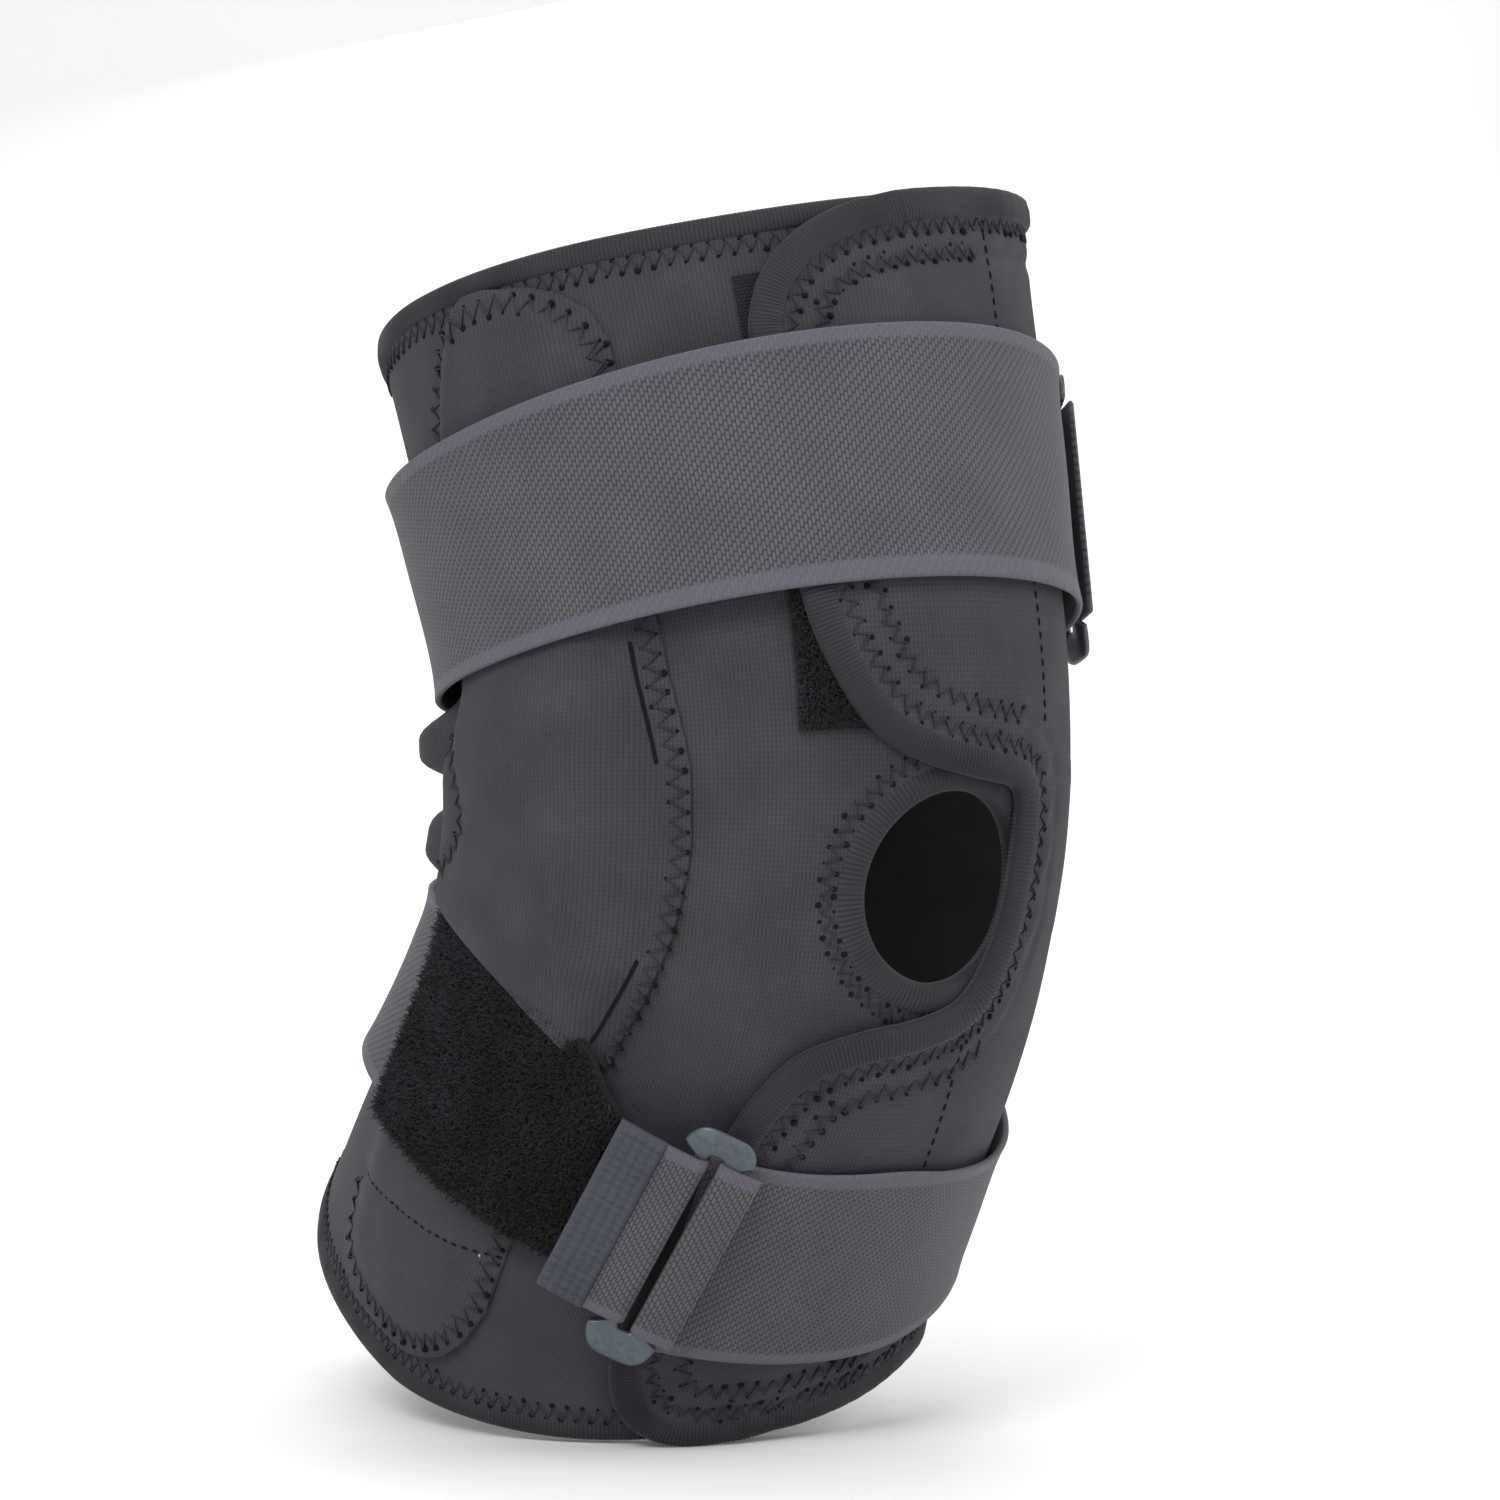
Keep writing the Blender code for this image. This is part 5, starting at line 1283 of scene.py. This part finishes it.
def slitPath(low, high):
    # a slit runs just behind the cover's front edge
    places = np.linspace(low, high, 9)
    return evenPath([(s, 5.2 + np.interp(s, coverTable[::-1, 0], coverTable[::-1, 1])) for s in places],
                    0.001)


for label, path in (("upper", slitPath(0.040, 0.0185)), ("lower", slitPath(-0.0165, -0.0335))):
    # each slit is a thin near-black strip laid in the cover's dent: painted shade in the slit
    slit = tapePiece(label + "CoverSlit", path, coverTop(path[:, 0], path[:, 1]) + 0.0001, 0.0011, 0.0007,
                     holeShadeAndDarkThread, rib=0.0)
    soft(slit, "binding")
for label, runs in (("hem", hemRows), ("flap", flapRows), ("pocket", pocketRows)):
    sizes = stitch[label]
    rows = grown(label + "ZigzagRows", guidePiece(label + "Guide", runs), zigzagTree,
                 {**sizes, "Lift": 0.0001, "Finish": thread})
    soft(rows, "binding")
    # the needle pits are near-black balls sunk under each stitch: painted shade in the needle holes
    sunkRuns = [(path, out - stitch["pitSink"], closed) for path, out, closed in runs]
    pits = grown(label + "NeedlePits", guidePiece(label + "PitGuide", sunkRuns), pitTree,
                 {"Stitch Step": sizes["Stitch Step"], "Row Width": sizes["Row Width"] * 1.15,
                  "Pit Radius": stitch["pitRadius"], "Seed": 3, "Finish": holeShadeAndDarkThread})
    soft(pits, "binding")
straightRuns = [runOn(path, closureTop, 0.0001) for path in flapSeams] + [runOn(crossSeam, pocketTop, 0.0001)]
straight = grown("straightSeams", guidePiece("straightGuide", straightRuns), dashTree,
                 {"Stitch Step": 0.0032, "Stitch Length": 0.0023, "Thread Radius": 0.0004,
                  "Finish": holeShadeAndDarkThread})
soft(straight, "binding")
print("stitches done")


pile = {"Density": 2600000.0, "Tuft Height": 0.0021, "Tuft Radius": 0.00021}


def pileOn(name, lowS, highS, phis, heightAt, seed, density=1.0):
    columnValues = np.linspace(*phis, max(6, int(abs(phis[1] - phis[0]) / 2)))
    share = np.linspace(0, 1, 16)
    low, high = lowS(columnValues), highS(columnValues)
    s = low[None] + (high - low)[None] * share[:, None]
    phi = np.repeat(columnValues[None], len(share), 0)
    points = onLeg(s, phi, heightAt(s, phi)).reshape(-1, 3)
    rows, count = s.shape
    index = np.arange(rows * count).reshape(rows, count)
    faces = [(index[i, j], index[i + 1, j], index[i + 1, j + 1],
              index[i, j + 1]) for i in range(rows - 1) for j in range(count - 1)]
    ground = newPiece(name + "Ground", points, faces, pileFibre)
    middlePoint = onLeg(s.mean(), phi.mean(), 0.0)
    faceNormal = ground.data.polygons[len(faces) // 2].normal
    if faceNormal.dot(ground.data.polygons[len(faces) // 2].center - Vector(middlePoint)) < 0:
        ground.data.flip_normals()
    tufts = grown(name, ground, pileTree, {**pile, "Density": pile["Density"] * density, "Seed": seed,
                                           "Finish": pileFibre})
    soft(tufts, "loop_pile")


pileTop = lambda s, phi: calfStrapOut(s, phi) + strap["thick"] + 0.0007
pileOn("calfPileTufts", level(strap["calfPileLow"] + 0.0004), lambda phi: pileHigh(phi) - 0.001,
       (44.0, 108.6), pileTop, 5)
pileOn("thighLoopTufts", level(0.0227), level(0.0425), (20.0, 32.8), lambda s,
       phi: patchOut(s, phi) + bodyOut(s, phi) + 0.0013, 8, 0.9)
print("pile done")


for side in ("lateral", "medial"):
    for node, material in (("thigh_bar", barMetal), ("calf_bar", barMetal), ("pivot_rivet", rivetMetal),
                           ("stop_pin", rivetMetal),
                           ("hinge_cap", capPlastic)):
        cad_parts[f"{side}_{node}"].data.materials.clear()
        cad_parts[f"{side}_{node}"].data.materials.append(material)
    low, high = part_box(f"{side}_condyle_pad")
    centre = (Vector(low) + Vector(high)) / 2
    radius, half = (high[2] - low[2]) / 2, (high[0] - low[0]) / 2
    profile = [(0.0057, 0.0), (0.0060, 0.75), (0.0068, 1.0), (0.0100, 1.0), (radius - 0.0012, 0.92),
               (radius - 0.0003, 0.6), (radius, 0.0)]
    profile += [(r, -h) for r, h in profile[-2:0:-1]]
    turns = np.linspace(0, 2 * math.pi, 64, endpoint=False)
    vertices = [(centre[0] + h * half, centre[1] + r * math.cos(a),
                 centre[2] + r * math.sin(a)) for a in turns for r, h in profile]
    count = len(profile)
    faces = [(i * count + k, i * count + (k + 1) % count, (i + 1) % 64 * count + (k + 1) % count,
              (i + 1) % 64 * count + k)
             for i in range(64) for k in range(count)]
    pad = cleaned(newPiece(side + "CondylePad", vertices, faces, foam))
    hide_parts(side + "_condyle_pad")
    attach(pad, "thigh")
for part in ("thigh", "calf"):
    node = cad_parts[part + "_hook_patch"]
    node.data.materials.clear()
    node.data.materials.append(hookTape)


for piece in softPieces:
    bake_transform(piece)


camera = {"azimuth": -38.0, "elevation": 2.0, "distance": 1.0, "target": (0.0, 0.01, 0.0), "lens": 96.0,
          "shiftY": 0.0633}


def floorMaterial():
    material, tree, shader, coords = newMaterial("paleFloor", 0.8)
    cloud = texture(tree, "ShaderNodeTexNoise", coords.outputs["Object"], 6.0, 4.0)
    tree.links.new(mixColour(tree, cloud, shade(236, 236, 236), shade(243, 243, 242)),
                   shader.inputs["Base Color"])
    return material


bpy.context.view_layer.update()
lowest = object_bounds()[0][2]
floorLine = [(-1.6, lowest), (0.9, lowest)]
floorLine += [(0.9 + 0.6 * math.sin(a), lowest + 0.6 - 0.6 * math.cos(a)) for a in np.linspace(0.1,
    math.pi / 2, 14)]
floorLine.append((1.5, lowest + 2.4))
azimuth = math.radians(camera["azimuth"])
back = np.array([math.sin(azimuth), -math.cos(azimuth)])
side = np.array([-back[1], back[0]])
floorVertices, floorFaces = [], []
for reach, height in floorLine:
    for across in (-4.0, 4.0):
        x, y = -back * reach + side * across
        floorVertices.append((x, y, height))
for i in range(len(floorLine) - 1):
    floorFaces.append((2 * i, 2 * i + 1, 2 * i + 3, 2 * i + 2))
floor = newPiece("paleFloor", floorVertices, floorFaces, floorMaterial())

eye = bpy.data.objects.new("camera", bpy.data.cameras.new("camera"))
bpy.context.scene.collection.objects.link(eye)
lift = math.radians(camera["elevation"])
away = Vector((math.sin(azimuth) * math.cos(lift), -math.cos(azimuth) * math.cos(lift), math.sin(lift)))
eye.location = Vector(camera["target"]) + away * camera["distance"]
eye.rotation_euler = away.to_track_quat("Z", "Y").to_euler()
eye.data.lens = camera["lens"]
eye.data.sensor_width = 36.0
eye.data.shift_y = camera["shiftY"]
eye.data.clip_start = 0.01
bpy.context.scene.camera = eye

lights = {
    # azimuth, elevation, distance, size, power
    "key": (-62.0, 38.0, 1.5, 0.7, 12.0),
    "front": (-20.0, 12.0, 1.7, 1.4, 3.0),
    "rim": (50.0, 30.0, 1.4, 0.8, 6.0),
    "back": (150.0, 35.0, 1.5, 1.0, 8.0),
    "top": (-38.0, 88.0, 1.4, 1.2, 5.0),
}
for name, (turn, height, distance, size, power) in lights.items():
    lamp = bpy.data.objects.new(name, bpy.data.lights.new(name, "AREA"))
    lamp.data.shape = "DISK"
    lamp.data.size = size
    lamp.data.energy = power
    a, e = math.radians(turn), math.radians(height)
    direction = Vector((math.sin(a) * math.cos(e), -math.cos(a) * math.cos(e), math.sin(e)))
    lamp.location = direction * distance
    lamp.rotation_euler = direction.to_track_quat("Z", "Y").to_euler()
    bpy.context.scene.collection.objects.link(lamp)
world = bpy.data.worlds.new("softRoom")
world.use_nodes = True
world.node_tree.nodes["Background"].inputs["Color"].default_value = (0.95, 0.96, 1.0, 1)
world.node_tree.nodes["Background"].inputs["Strength"].default_value = 0.62
bpy.context.scene.world = world
bpy.context.scene.view_settings.view_transform = "Standard"

print("scene ready")
